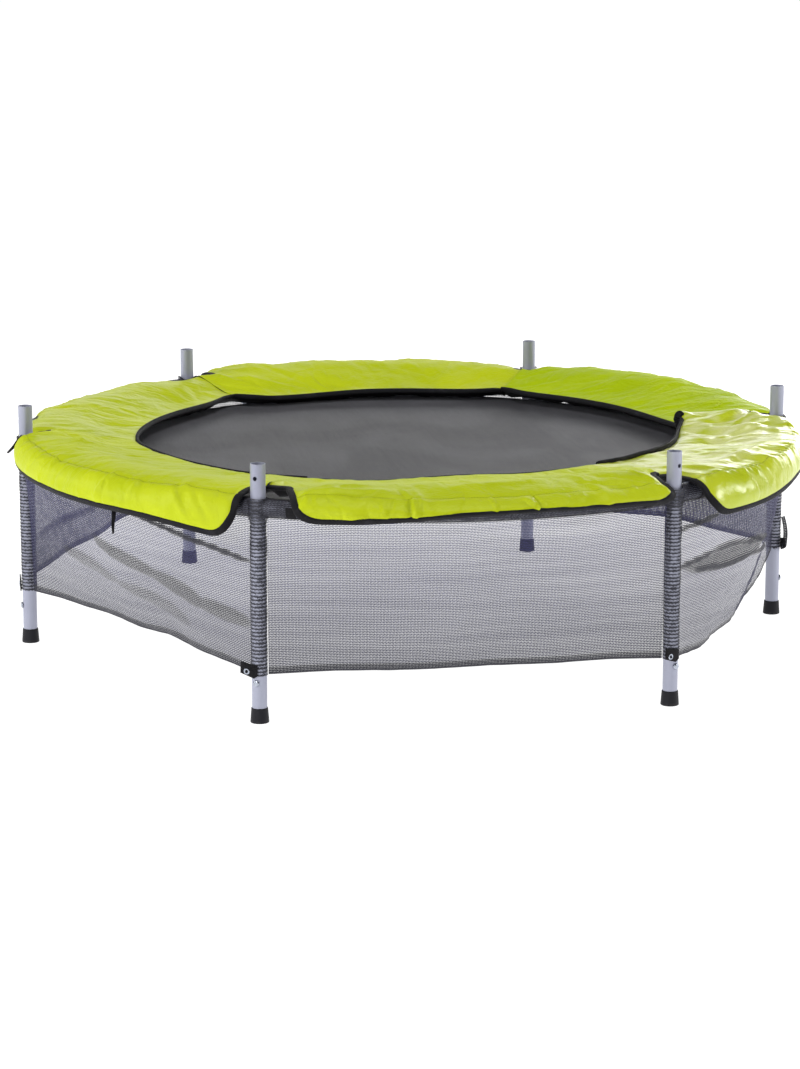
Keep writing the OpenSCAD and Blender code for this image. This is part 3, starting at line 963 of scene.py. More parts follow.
@dataclass
class Suspension:
    """The mat, its hem, and the rings and springs that hold it to the ring."""

    layout: Layout
    springs_per_bay: int = 5
    sag: float = 0.004
    still_r: float = 0.15
    mat_t: float = 0.0015
    turned_edge: float = 0.02
    around_by: int = 180
    hem_w: float = 0.04
    hem_t: float = 0.002
    hem_gap: float = 0.0001
    coil_r: float = 0.0075
    wire_r: float = 0.0013
    hook_r: float = 0.0052
    hook_gap: float = 0.0006
    hook_in: tuple[float, float] = (0.5753, 0.3337)
    hook_out: tuple[float, float] = (0.6737, 0.3528)
    ring_apex: float = 0.573
    ring_len: float = 0.022
    ring_w: float = 0.03
    ring_wire_r: float = 0.0015
    ring_bends: Samples = (0.003, 0.0046, 0.003)
    loop_half_w: float = 0.011
    loop_gap: float = 0.0003

    def build(self) -> list[Piece]:
        """Makes every piece."""
        mat, hem = self._mat(), self._hem()
        step = self.layout.bay / self.springs_per_bay
        places = [(k + 1, step * (k + 0.5)) for k in range(self.layout.posts * self.springs_per_bay)]
        made = [(self._ring(*p), self._spring(*p), self._loop(*p)) for p in places]
        rings, springs, loops = (list(group) for group in zip(*made))
        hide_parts("jump_mat")
        groups = (("mat_hem", [hem]), ("mat_rings", rings), ("springs", springs), ("mat_hem", loops))
        for node, pieces in groups:
            for piece in pieces:
                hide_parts(node)
        return [mat, hem, *rings, *springs, *loops]

    def _disc(
        self, name: str, radii: Array, drop: float, thick: float, finish: Finish
    ) -> Piece:
        """A round sheet that bends from the ring to its still middle.

        Args:
            name: The piece's name.
            radii: The radii of its rows, from outside in.
            drop: How far it lies below the mat's upper face.
            thick: Its thickness.
            finish: Its finish.

        Returns:
            The object.
        """
        reach = self.layout.mat_r - self.still_r
        bearings = np.arange(self.around_by) * math.tau / self.around_by
        grid_r, grid_a = np.meshgrid(radii, bearings, indexing="ij")
        fall = self.sag * np.clip((self.layout.mat_r - grid_r) / reach, 0.0, 1.0)
        points = around(grid_r, grid_a, self.layout.mat_top - drop - fall).reshape(-1, 3)
        faces = lattice(len(radii), self.around_by, wrap=True)
        cut = np.stack([(grid_a * self.layout.mat_r).ravel(), grid_r.ravel()], -1)
        if radii[-1] < self.still_r:
            last = (len(radii) - 1) * self.around_by
            faces.append(tuple(last + k for k in range(self.around_by)))
        piece = mesh_object(name, points, faces, cut)
        piece.data.materials.append(finish.material())
        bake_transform(piece)
        made = piece.modifiers.new("Thickness", "SOLIDIFY")
        made.thickness, made.offset, made.use_rim = thick, -1.0, True
        return piece

    def _mat(self) -> Piece:
        """The woven mat."""
        edge = self.layout.mat_r
        inner = np.linspace(edge - self.hem_w, 0.02, 34)
        radii = np.concatenate([[edge, edge - self.turned_edge], inner])
        return self._disc("jump_mat_cloth", radii, 0.0, self.mat_t, WEAVE)

    def _hem(self) -> Piece:
        """The webbing sewn under the mat's edge."""
        radii = np.linspace(self.layout.mat_r, self.layout.mat_r - self.hem_w, 6)
        drop = self.mat_t + self.hem_gap
        return self._disc("mat_hem_band", radii, drop, self.hem_t, TAPE)

    def _hang(self, piece: Piece, bearing: float, finish: Finish) -> Piece:
        """Turns a piece made along +X to its bearing and dresses it."""
        piece.matrix_world = Matrix.Rotation(bearing, 4, "Z")
        piece.data.materials.append(finish.material())
        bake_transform(piece)
        return piece

    def _ring(self, number: int, bearing: float) -> Piece:
        """A triangular wire ring in its webbing loop."""
        base, half = self.ring_apex - self.ring_len, self.ring_w / 2
        corners = np.array([(base, -half), (self.ring_apex, 0.0), (base, half)])
        path = []
        for n, (here, bend) in enumerate(zip(corners, self.ring_bends)):
            back, ahead = unit(corners[n - 1] - here), unit(corners[(n + 1) % 3] - here)
            for t in np.linspace(0, 1, 6):
                start, stop = here + back * bend * 1.6, here + ahead * bend * 1.6
                path.append((1 - t) ** 2 * start + 2 * t * (1 - t) * here + t * t * stop)
        line = np.column_stack([np.array(path), np.full(len(path), self.hook_in[1])])
        piece = wire(f"mat_ring_{number:02d}", line, self.ring_wire_r, 8, closed=True)
        return self._hang(piece, bearing, PLATE)

    def _spring(self, number: int, bearing: float) -> Piece:
        """A close-wound spring with a hook at each end."""
        inner, outer = np.array(self.hook_in), np.array(self.hook_out)
        reach = float(np.linalg.norm(outer - inner))
        slope = math.atan2(outer[1] - inner[1], outer[0] - inner[0])
        winding = self.coil_r - self.wire_r
        start = self.hook_r + 2 * self.wire_r
        turns = int((reach - 2 * start) / (2 * self.wire_r))
        angle = np.linspace(-math.pi / 2, math.tau * turns - math.pi / 2, turns * 12 + 1)
        run = np.linspace(start, reach - start, len(angle))
        coil = np.column_stack([run, winding * np.cos(angle), winding * np.sin(angle)])
        bend = np.radians(np.linspace(300, 0, 22))
        eye = np.column_stack([self.hook_r * np.cos(bend), 0 * bend, self.hook_r * np.sin(bend)])
        leg = [[self.hook_r, 0, -winding * 0.6], [self.hook_r + self.hook_gap, 0, -winding * 0.92]]
        first = np.concatenate([eye, leg])
        last = (first[6:] * (-1, 1, 1) + (reach, 0, 0))[::-1]
        local = np.concatenate([first, coil, last])
        c, s = math.cos(slope), math.sin(slope)
        out = inner[0] + local[:, 0] * c - local[:, 2] * s
        up = inner[1] + local[:, 0] * s + local[:, 2] * c
        line = np.column_stack([out, local[:, 1], up])
        return self._hang(wire(f"spring_{number:02d}", line, self.wire_r), bearing, PLATE)

    def _loop(self, number: int, bearing: float) -> Piece:
        """The webbing loop that holds one ring, folded round the ring's base."""
        edge, height = self.layout.mat_r, self.hook_in[1]
        round_r = self.ring_wire_r + self.loop_gap + self.hem_t / 2
        turn = np.linspace(math.pi / 2, -math.pi / 2, 9)
        base = self.ring_apex - self.ring_len
        nose = np.column_stack([base + round_r * np.cos(turn), height + round_r * np.sin(turn)])
        root = edge - self.hem_w * 0.4
        under = self.layout.mat_top - self.mat_t - self.hem_t / 2
        lower = [[edge, height - round_r], [root, height - round_r + 0.003]]
        side = np.concatenate([[[root, under], [edge, under]], nose, lower])
        path = np.column_stack([side[:, 0], np.zeros(len(side)), side[:, 1]])
        across = np.tile([0.0, 1.0, 0.0], (len(path), 1))
        piece = tape(f"ring_loop_{number:02d}", path, across, self.loop_half_w, self.hem_t / 2)
        return self._hang(piece, bearing, TAPE)


# ---------- pad


@dataclass(frozen=True)
class PanelEnd:
    """How a panel is cut and lies beside one upright, in metres.

    The notch is half_w wide at its root and flares towards the hem. The inner edge is
    drawn out by kink over kink_w, and the panel overlaps its neighbour by over.
    """

    half_w: float = 0.047
    seam_flare: float = 0.002
    flare: float = 0.01
    inner_bend: float = 0.016
    outer_bend: float = 0.034
    kink: float = 0.0
    kink_w: float = 0.06
    valley: float = 0.0045
    valley_w: float = 0.014
    over: float = 0.0
    lift: float = 0.0


@dataclass(frozen=True)
class Panel:
    """How one bay's pad panel was sewn, stuffed and creased.

    The tuples hold even samples from its first upright to its second, in metres.
    """

    edge_r: Samples = (0.482,) * 5
    edge_h: Samples = (0.3625,) * 5
    edge_fall: Samples = (0.006,) * 5
    seam_r: Samples = (0.7028,) * 5
    seam_h: Samples = (0.3858,) * 5
    drop: Samples = (0.056,) * 5
    belly: Samples = (0.036,) * 5
    crown: float = 0.01
    start: PanelEnd = PanelEnd()
    stop: PanelEnd = PanelEnd()
    foam_out: float = 0.0135
    soft: float = 0.0024
    crumple: float = 0.0016
    gather: float = 0.0006
    gather_pitch: float = 0.016
    groove: float = 0.0016
    edge_tape_w: float = 0.0048
    finish: CoatedCloth = CoatedCloth()
    scatter: tuple[Scatter, ...] = ()
    creases: tuple[Crease, ...] = ()


@dataclass
class PadCover:
    """Six padded panels over the ring and springs, bound with tape at every edge."""

    layout: Layout
    panels: Sequence[Panel]
    columns: int = 220
    rows: tuple[int, int, int] = (8, 46, 20)
    lip: float = 0.02
    top: float = 0.203
    skirt: float = 0.066
    notch_r: float = 0.652
    pad_t: float = 0.0185
    skirt_t: float = 0.006
    edge_t: float = 0.004
    curl: tuple[Point, ...] = (
        (0.5055, -0.01, 0.364), (0.508, -0.006, 0.372), (0.507, -0.003, 0.3795),
        (0.5035, -0.003, 0.383), (0.4998, -0.004, 0.381), (0.4975, -0.006, 0.375),
    )
    curl_faces: Point = (0.25, 0.95, -0.18)
    curl_half_w: float = 0.006
    curl_t: float = 0.003
    curl_bay: int = 2
    hem_tape_w: float = 0.0066
    hem_bend: float = 1.35
    tape_t: float = 0.0029
    tape_over: float = 0.002
    fill: float = 0.75
    sewn: tuple[float, float] = (0.01, 0.024)
    calm: tuple[float, float] = (0.004, 0.022)
    calm_end: tuple[float, float] = (-0.002, 0.018)
    rolled: float = 0.006
    hang_out: Point = (0.62, 1.16, 0.72)
    hang_down: Point = (0.07, 0.58, 1.0)
    webs: tuple[tuple[float, float], ...] = ((0.15, 0.5), (0.075, 0.3), (0.04, 0.2))
    groove_w: float = 0.0032
    lift_w: float = 0.03

    def __post_init__(self) -> None:
        """Works out where the seam lies across the cloth, and the cloth's whole width."""
        self._seam = self.lip + self.top
        self._span = self._seam + self.skirt

    def build(self) -> list[Piece]:
        """Makes each panel with its tapes."""
        made = []
        for bay, panel in enumerate(self.panels, 1):
            made += self._panel(bay, panel)
        return [*made, self._curl()]

    def _curl(self) -> Piece:
        """The end of a panel's edge tape, which curls up where two panels meet."""
        path = curve_through(np.array(self.curl), np.linspace(0, 1, 24))
        sideways = unit(np.cross(unit(np.gradient(path, axis=0)), self.curl_faces))
        half_w, half_t = self.curl_half_w, self.curl_t
        return webbing("pad_tape_end", path, sideways, half_w, half_t, f"pad_{self.curl_bay}")

    def _outline(self, panel: Panel) -> Array:
        """The panel's outer edge on the flat cloth, from upright to upright."""
        edge, seam = panel.edge_r[0], panel.seam_r[0]
        inner = self.lip + self.top * (self.notch_r - edge - self.lip) / (seam - edge - self.lip)
        turn = np.linspace(0, math.pi / 2, 9)

        def side(end: PanelEnd) -> Array:
            """One notch, from the end of the panel to the hem."""
            h, r, b = end.half_w, end.inner_bend, end.outer_bend
            root = np.column_stack([h - r + r * np.sin(turn), inner + r - r * np.cos(turn)])
            reach = self.hem_bend * b * (1 - np.cos(turn))
            hem = np.column_stack([h + end.flare + reach, self._span - b + b * np.sin(turn)])
            return np.concatenate([[[-end.over, inner]], root, [[h + end.seam_flare, self._seam]], hem])

        left, right = side(panel.start), side(panel.stop)[::-1]
        right[:, 0] = self.layout.bay_run - right[:, 0]
        return spread(np.concatenate([left, right]), self.columns)

    def _ends(self, panel: Panel, along: Array) -> list[tuple[PanelEnd, Array]]:
        """Each end of the panel, with how far along from it those places lie."""
        return [(panel.start, along), (panel.stop, self.layout.bay_run - along)]

    def _section(self, across: Array, along: Array, panel: Panel) -> tuple[Array, Array]:
        """Radius and height of the cover's upper face.

        Args:
            across: Places across the cloth from the inner edge, in metres.
            along: Places along the bay, in metres.
            panel: How the panel was made.

        Returns:
            The radii and heights.
        """
        share = along / self.layout.bay_run
        names = ("edge_r", "edge_h", "edge_fall", "seam_r", "seam_h", "drop", "belly")
        samples = (through(getattr(panel, name), share) for name in names)
        edge_r, edge_h, fall, seam_r, seam_h, drop, belly = samples
        lip = np.clip(across / self.lip, 0, 1)
        top = np.clip((across - self.lip) / self.top, 0, 1)
        hang = np.clip((across - self.lip - self.top) / self.skirt, 0, 1)
        ends = self._ends(panel, along)
        kink = sum(end.kink * np.exp(-np.abs(away / end.kink_w) ** 1.5) for end, away in ends)
        reach = np.sqrt(np.maximum(self.lip**2 - fall**2, 1e-6))
        start = edge_r + kink
        first = start + reach * lip**1.6
        bulge = 0.35 * fall * np.sin(math.pi * lip)
        radius = first - bulge + (seam_r - start - reach) * top
        height = edge_h - fall * (1 - np.sin(lip * math.pi / 2))
        height = height + (seam_h - edge_h) * top + panel.crown * np.sin(math.pi * top**1.7)
        bends = 3 * hang * (1 - hang) ** 2, 3 * hang**2 * (1 - hang), hang**3
        radius = radius + belly * sum(k * bend for k, bend in zip(self.hang_out, bends))
        return radius, height - drop * sum(k * bend for k, bend in zip(self.hang_down, bends))

    def _panel(self, bay: int, panel: Panel) -> list[Piece]:
        """Makes one panel and its two tapes."""
        outer, count = self._outline(panel), self.columns
        left, right = -panel.start.over, self.layout.bay_run + panel.stop.over
        inner = np.column_stack([left + (right - left) * np.linspace(0, 1, count), np.zeros(count)])
        marks = (0, self.lip / self._span, self._seam / self._span, 1)
        runs = [np.linspace(a, b, n)[:-1] for a, b, n in zip(marks, marks[1:], self.rows)]
        steps = np.concatenate([*runs, [1.0]])
        flat = inner[None] + (outer - inner)[None] * steps[:, None, None]
        along, across = flat[..., 0], flat[..., 1]
        bearing = self.layout.bearing(bay) + along / self.layout.ring_r
        radius, height = self._section(across, along, panel)
        base = around(radius, bearing, height)
        upward = unit(np.cross(np.gradient(base, axis=0), np.gradient(base, axis=1)))
        to_edge = np.linalg.norm(flat[:, :, None] - outer[None, None], axis=-1).min(-1)
        cut_back = smooth(self._span - outer[:, 1], 0.004, 0.03)[None]
        face = base + upward * self._relief(bay, along, across, to_edge, panel)[..., None]
        rolled = cut_back * self.rolled * (1 - smooth(to_edge, 0.0, self.sewn[1]))
        face = face - upward * rolled[..., None]
        back = face - upward * self._thickness(across, to_edge, panel.foam_out)[..., None]
        cover = self._closed(f"pad_cover_{bay}", face, back, flat)
        settle(cover, panel.finish, f"pad_{bay}")
        cover.data.materials.append(LINING.material())
        sides = np.ones(len(cover.data.polygons), dtype=np.int32)
        sides[: (len(steps) - 1) * (count - 1)] = 0
        cover.data.polygons.foreach_set("material_index", sides)
        made = [cover]
        bindings = (("binding", -1, -3, self.hem_tape_w), ("edge_tape", 0, 2, panel.edge_tape_w))
        for kind, row, beside, half_w in bindings:
            line, inside = (face[row] + back[row]) / 2, (face[beside] + back[beside]) / 2
            outward = unit(line - inside)
            line = line - outward * (half_w - self.tape_over)
            made.append(webbing(f"pad_{kind}_{bay}", line, outward, half_w, self.tape_t, f"pad_{bay}"))
        return made

    def _thickness(self, across: Array, to_edge: Array, foam_out: float) -> Array:
        """How thick the panel is: full over the foam, and thin where it is sewn."""
        outward = np.clip((across - self.lip) / self.top, 0, 1)
        foam = self.pad_t - (self.pad_t - foam_out) * outward**2
        full = foam + (self.skirt_t - foam) * smooth(across, self._seam - 0.004, self._seam + 0.012)
        return self.edge_t + (full - self.edge_t) * smooth(np.minimum(to_edge, across), *self.sewn)

    def _relief(self, bay: int, along: Array, across: Array, to_edge: Array, panel: Panel) -> Array:
        """How far the cloth stands off its smooth form, in metres."""
        away = across - self._seam
        ends = [(end, beside + end.over) for end, beside in self._ends(panel, along)]
        total = Ripples(bay * 7 + 1, 0.16).at(along, across) * panel.soft
        total = total + Ripples(bay * 7 + 2, 0.05, 0.5).at(along, across) * panel.soft * 0.3
        for n, (size, part) in enumerate(self.webs):
            web = Ripples(bay * 7 + 3 + n, size, 0.7).creases(along, across, 0.4)
            total = total + panel.crumple * part * (web - 0.25)
        total = total + self._gathers(bay, along, away, panel)
        total = total - panel.groove * np.exp(-((away / self.groove_w) ** 2))
        for end, beside in ends:
            dip = end.valley * np.exp(-(beside / end.valley_w))
            total = total - dip * np.clip(across / self._seam, 0, 1)
        scale = (self.layout.bay_run, self._span)
        for crease in [*panel.creases, *(f for s in panel.scatter for f in s.folds(scale))]:
            total = total + crease.height * crease.mask(along, across, scale)
        calm = smooth(np.minimum(across, to_edge), *self.calm)
        for _, beside in ends:
            calm = calm * smooth(beside, *self.calm_end)
        lifted = sum(end.lift * np.exp(-((beside / self.lift_w) ** 2)) for end, beside in ends)
        return total * calm + lifted * (1 - smooth(across, 0.0, 1.2 * self.lip))

    @staticmethod
    def _gathers(bay: int, along: Array, away: Array, panel: Panel) -> Array:
        """Short puckers that stand across the seam, at uneven steps along it."""
        draw = np.random.default_rng(GATHER_SEED + bay)
        total, place = np.zeros_like(along), 0.0
        while place < along.max():
            place += panel.gather_pitch * draw.uniform(0.5, 1.6)
            size = panel.gather * draw.uniform(0.2, 1.0)
            slant, reach = draw.uniform(-0.5, 0.5), draw.uniform(0.008, 0.022)
            side = along - place - slant * away
            total += size * np.exp(-((side / 0.0032) ** 2) - (away / reach) ** 2)
            total -= 0.5 * size * np.exp(-(((side - 0.006) / 0.004) ** 2) - (away / reach) ** 2)
        return total

    @staticmethod
    def _closed(name: str, face: Array, back: Array, flat: Array) -> Piece:
        """Joins an upper and a lower grid into one closed form."""
        rows, columns = face.shape[:2]
        size = rows * columns
        points = np.concatenate([face.reshape(-1, 3), back.reshape(-1, 3)])
        faces = lattice(rows, columns) + lattice(rows, columns, first=size, flip=True)
        grid = np.arange(size).reshape(rows, columns)
        rim = np.concatenate([grid[0], grid[1:, -1], grid[-1, -2::-1], grid[-2:0:-1, 0]]).tolist()
        faces += [(b, a, a + size, b + size) for a, b in zip(rim, rim[1:] + rim[:1])]
        return mesh_object(name, points, faces, np.concatenate([flat.reshape(-1, 2)] * 2))


@dataclass
class PadTies:
    """Elastic bands that hang from the pad under the ring, one each side of an upright."""

    layout: Layout
    place: float = 0.06
    half_w: float = 0.008
    wrap_r: float = 0.0149
    inner_top: float = 0.013
    outer_top: float = 0.0055
    thick: float = 0.0007
    tail_w: float = 0.55
    tail_t: float = 1.4
    tail_faces: Point = (0.3, -1.0, 0.1)
    tail_turns_to: Point = (0.16, -0.98, 0.1)
    tail_turn: float = 1.1
    tails: tuple[tuple[Point, ...], ...] = (
        ((-0.6935, -0.01, 0.3765), (-0.701, -0.009, 0.369),
         (-0.709, -0.008, 0.359), (-0.7205, -0.006, 0.347)),
        ((-0.565, -0.421, 0.342), (-0.564, -0.428, 0.32),
         (-0.5655, -0.426, 0.302), (-0.565, -0.422, 0.286)),
    )

    def build(self) -> list[Piece]:
        """Makes the bands round the ring tube, and the loose ends of two of them."""
        apart = self.place / self.layout.ring_r
        made = [
            self._band(f"pad_tie_{post}_{letter}", self.layout.bearing(post) + side * apart)
            for post in range(1, self.layout.posts + 1)
            for side, letter in ((-1, "a"), (1, "b"))
        ]
        tails = enumerate(self.tails, 1)
        return made + [self._tail(f"pad_tie_end_{k}", np.array(tail)) for k, tail in tails]

    def _band(self, name: str, bearing: float) -> Piece:
        """One band: down from the pad inside the ring, under it, and up outside."""
        r, turn = self.wrap_r, np.linspace(math.pi, math.tau, 25)
        inside, outside = np.linspace(self.inner_top, 0.003, 4), np.linspace(0.002, self.outer_top, 3)
        out = np.concatenate([[-r] * 4, r * np.cos(turn), [r] * 3])
        up = np.concatenate([inside, r * np.sin(turn), outside])
        path = around(self.layout.ring_r + out, np.full(len(out), bearing), self.layout.ring_h + up)
        sideways = np.tile([-math.sin(bearing), math.cos(bearing), 0.0], (len(out), 1))
        return webbing(name, path, sideways, self.half_w, self.thick, "pad_ties")

    def _tail(self, name: str, knots: Array) -> Piece:
        """The loose end of a band, which hangs below the pad and twists."""
        share = np.linspace(0, 1, 16)[:, None]
        path = curve_through(knots, share[:, 0])
        faces = unit(np.cross(knots[-1] - knots[0], self.tail_faces))
        sideways = faces * np.cos(share * self.tail_turn)
        sideways = sideways + np.array(self.tail_turns_to) * np.sin(share * self.tail_turn)
        half_w, half_t = self.half_w * self.tail_w, self.thick * self.tail_t
        return webbing(name, path, sideways, half_w, half_t, "pad_ties")


# ---------- net


@dataclass(frozen=True)
class NetBay:
    """How the netting of one bay hangs, in metres.

    The hem's sag holds even samples below the straight line from leg to leg.
    """

    sag: Samples = (0.0, 0.003, 0.004, 0.003, 0.0)
    close: bool = False
    billow: float = 0.01
    pleat: float = 0.0009
    folds: tuple[Crease, ...] = ()


@dataclass
class LegNet:
    """Netting under the ring: header tunnels, hanging panels, leg sleeves and tabs."""

    layout: Layout
    bays: Sequence[NetBay]
    # Bearings in degrees of each sleeve's painted highlight.
    highlight_bearings: Sequence[float]
    wrap_gap: float = 0.001
    rows: int = 60
    columns: int = 160
    header_rows: int = 20
    header_turn: float = 118.0
    header_gap: float = 0.0105
    panel_gap: float = 0.015
    seam: float = 0.05
    hem: float = 0.01
    hem_line: float = 0.001
    fold_edge: tuple[float, float] = (0.0028, 0.0016)
    top_edge: float = 0.002
    sleeve_rows: tuple[int, int] = (70, 14)
    sleeve_sides: int = 40
    collar_top: float = 0.3752
    collar_foot: float = 0.338
    collar_flare: float = 0.0026
    tab: tuple[tuple[float, float], ...] = (
        (-0.027, 0.0045), (-0.003, -0.0035), (0.0035, 0.001), (0.0035, 0.018), (-0.0265, 0.0235)
    )
    tab_layers: tuple[tuple[float, float], ...] = (
        (-0.001, 0.97), (-0.0004, 1.0), (0.0004, 1.0), (0.001, 0.97)
    )
    tab_points: int = 48
    tab_gap: float = 0.0018
    flap_post: int = 3
    flap_rows: int = 20
    flap_heights: tuple[float, float] = (0.124, 0.182)
    flap_flat: tuple[float, float] = (0.012, 0.062)

    def build(self) -> list[Piece]:
        """Makes each bay's header and panel, and each leg's sleeve and tab."""
        made = []
        for i, bay in enumerate(self.bays, 1):
            made += [self._header(i), self._panel(i, bay), self._sleeve(i), self._tab(i)]
        return [*made, self._flap(self.flap_post)]

    @property
    def _wrap_r(self) -> float:
        """The radius of netting wrapped round a tube."""
        return self.layout.tube_r + self.wrap_gap

    def _header(self, i: int) -> Piece:
        """The tunnel round one bay's ring tube, open where the springs hook in."""
        ring_r, half = self.layout.ring_r, math.radians(self.header_turn)
        start, stop = (self.layout.bearing(i + k) for k in (0, 1))
        edge = self.header_gap / ring_r
        bearings = np.linspace(start + edge, stop - edge, self.columns)
        turns = np.radians(np.linspace(-self.header_turn, self.header_turn, self.header_rows))
        turn, bearing = np.meshgrid(turns, bearings, indexing="ij")
        slack = Ripples(i + 40, 0.05).at(bearing * ring_r, turn * 0.014) * 0.0007
        spoke = self._wrap_r + 0.0008 + np.abs(slack)
        points = around(ring_r + spoke * np.cos(turn), bearing, self.layout.ring_h + spoke * np.sin(turn))
        cut = np.stack([bearing * ring_r, turn * self._wrap_r], -1)
        piece = grid_object(f"net_tunnel_{i}", points, cut)
        speck = Ripples(i + 50, 0.011).at(bearing * ring_r, turn * self._wrap_r)
        set_layers(piece, 0.22 + 0.26 * smooth(slack, 0.0, 0.0004) + 0.24 * speck)
        settle(piece, CLOSE_NET, f"net_header_{i}")
        return piece

    def _panel(self, i: int, bay: NetBay) -> Piece:
        """One hanging panel, from the ring's curve down to a hem between the legs."""
        edge = self.panel_gap / self.layout.ring_r
        start, stop = (self.layout.bearing(i + k) for k in (0, 1))
        share, drop = np.linspace(0, 1, self.columns), np.linspace(0, 1, self.rows)
        bearing = start + edge + (stop - start - 2 * edge) * share
        top = around(self.layout.ring_r, bearing, self.layout.ring_h - self._wrap_r)
        low_a, low_b = (
            around(self.layout.ring_r, np.array(at), self.layout.hems[post % self.layout.posts])
            for at, post in ((start, i - 1), (stop, i))
        )
        inset = self.panel_gap / float(np.linalg.norm(low_b - low_a))
        foot = low_a + (low_b - low_a) * (inset + (1 - 2 * inset) * share)[:, None]
        foot[:, 2] -= through(bay.sag, share)
        grid = top[None] + (foot - top)[None] * drop[:, None, None]
        run, fall = self.layout.bay_run, float(np.linalg.norm((foot - top)[self.columns // 2]))
        along, across = np.meshgrid(share * run, drop * fall)
        out = np.stack([np.cos(bearing), np.sin(bearing), np.zeros(self.columns)], -1)
        hold = np.clip(np.sin(math.pi * share), 0, 1)[None] ** 0.5
        relief = bay.billow * Ripples(i * 5 + 60, 0.34, 0.8).at(along, across)
        relief = relief + bay.pleat * Ripples(i * 5 + 61, 0.06, 2.2).at(along, across)
        layers = 0.08 + 0.2 * across / fall
        hem = fall - self.hem
        layers = layers + smooth(across, hem - self.hem_line, hem + self.hem_line) * 0.5
        layers = layers + 0.5 * smooth(across, *(fall - edge for edge in self.fold_edge))
        layers = np.maximum(layers, 1 - smooth(across, 0.0, self.top_edge))
        for fold in bay.folds:
            mask = fold.mask(along, across, (run, fall))
            relief = relief + fold.height * mask
            layers = np.maximum(layers, fold.doubled * smooth(mask, 0.1, 0.65))
        relief = relief * hold * smooth(across, 0.0, 0.03)
        points = grid + out[None] * relief[..., None]
        piece = grid_object(f"net_cloth_{i}", points, np.stack([along, across], -1))
        set_layers(piece, layers)
        settle(piece, CLOSE_NET if bay.close else NET, f"net_panel_{i}")
        return piece

    @staticmethod
    def _area(points: Array) -> float:
        """The area of a grid of points."""
        near, below, beside, far = points[:-1, :-1], points[1:, :-1], points[:-1, 1:], points[1:, 1:]
        corners = ((below - near, beside - near), (below - far, beside - far))
        halves = sum(np.linalg.norm(np.cross(a, b), axis=-1) for a, b in corners)
        return float(halves.sum() / 2)

    def _sleeve(self, i: int) -> Piece:
        """The netting wound round one leg, and gathered into a collar at the ring."""
        foot, knee, head = self.layout.hems[i - 1], self.collar_foot, self.collar_top
        low, high = self.sleeve_rows
        heights = np.concatenate([np.linspace(foot, knee, low), np.linspace(knee, head, high)[1:]])
        turns = np.linspace(0, math.tau, self.sleeve_sides + 1)
        height, turn = np.meshgrid(heights, turns, indexing="ij")
        ripple = Ripples(i + 80, 0.05, 0.5).at(np.sin(turn) * 0.03, height)
        collar = smooth(height, knee - 0.006, knee + 0.01)
        spoke = self._wrap_r + np.abs(ripple) * (0.0008 + 0.0016 * collar) + self.collar_flare * collar
        centre = self.layout.on_post(i)
        frayed = 0.004 * ripple * smooth(height, head - 0.006, head)
        points = centre + around(spoke, turn, height + frayed)
        piece = grid_object(f"net_sleeve_{i}", points, np.stack([turn * self._wrap_r, height], -1))
        # A strip of thinner, lighter netting on the side facing the camera, where the tube shows through: a
        # painted highlight.
        highlight_strip = smooth(np.cos(turn - math.radians(self.highlight_bearings[i - 1])), 0.8, 0.97)
        above = smooth(height, self.layout.joint_h - 0.003, self.layout.joint_h + 0.003)
        speck = Ripples(i + 90, 0.011).at(np.sin(turn) * 0.03, height)
        layers = (-0.06 + 0.16 * above) * (1 - highlight_strip) - 0.26 * highlight_strip + 0.3 * collar + 0.44 * speck
        set_layers(piece, layers)
        settle(piece, SLEEVE_NET, f"leg_sleeve_{i}")
        return piece

    def _tab(self, i: int) -> Piece:
        """The webbing tab that the sleeve's eyelet is pressed into."""
        count = self.tab_points
        ring = spread(np.array([*self.tab, self.tab[0]]), count + 1)[:-1]
        middle = ring.mean(0)
        out = self.layout.tube_r + self.tab_gap + self.tab_layers[-1][0]
        a = self.layout.bearing(i)
        side, away = np.array([[-math.sin(a), math.cos(a), 0.0], [math.cos(a), math.sin(a), 0.0]])
        base = self.layout.on_post(i, out=out, height=self.layout.hems[i - 1])
        layers = []
        for depth, grow in self.tab_layers:
            left, up = ((ring - middle) * grow + middle).T[..., None]
            layers.append(base + side * left + np.array([0, 0, 1.0]) * up + away * depth)
        deep = len(layers)
        last = count * (deep - 1)
        faces = lattice(deep, count, wrap=True)
        faces += [tuple(range(count))[::-1], tuple(last + k for k in range(count))]
        piece = mesh_object(f"net_tab_{i}", np.concatenate(layers), faces, np.tile(ring, (deep, 1)))
        return settle(piece, TAPE, "net_tabs")

    def _flap(self, i: int) -> Piece:
        """The loose end of one sleeve's seam, which stands off its leg."""
        heights = np.linspace(*self.flap_heights, self.flap_rows)
        share = (heights - heights[0]) / (heights[-1] - heights[0])
        out = 0.015 + 0.004 * np.sin(math.pi * share)
        wide = 0.0085 * (1 - 0.35 * share)
        left = -0.004 + 0.006 * share
        on = self.layout.on_post
        near = np.array([on(i, o, k, h) for o, k, h in zip(out, left, heights)])
        far = np.array([on(i, o + w, k - 0.004, h + 0.003) for o, w, k, h in zip(out, wide, left, heights)])
        points = np.stack([near, near + (far - near) * 0.5, far])
        cut = np.stack(np.meshgrid([0.0, 0.005, 0.01], heights, indexing="ij"), -1)
        piece = grid_object(f"net_seam_end_{i}", points, cut)
        set_layers(piece, np.repeat([1.0, 0.6, 1.0], self.flap_rows))
        settle(piece, CLOSE_NET, f"leg_sleeve_{i}")
        return piece


# ---------- main

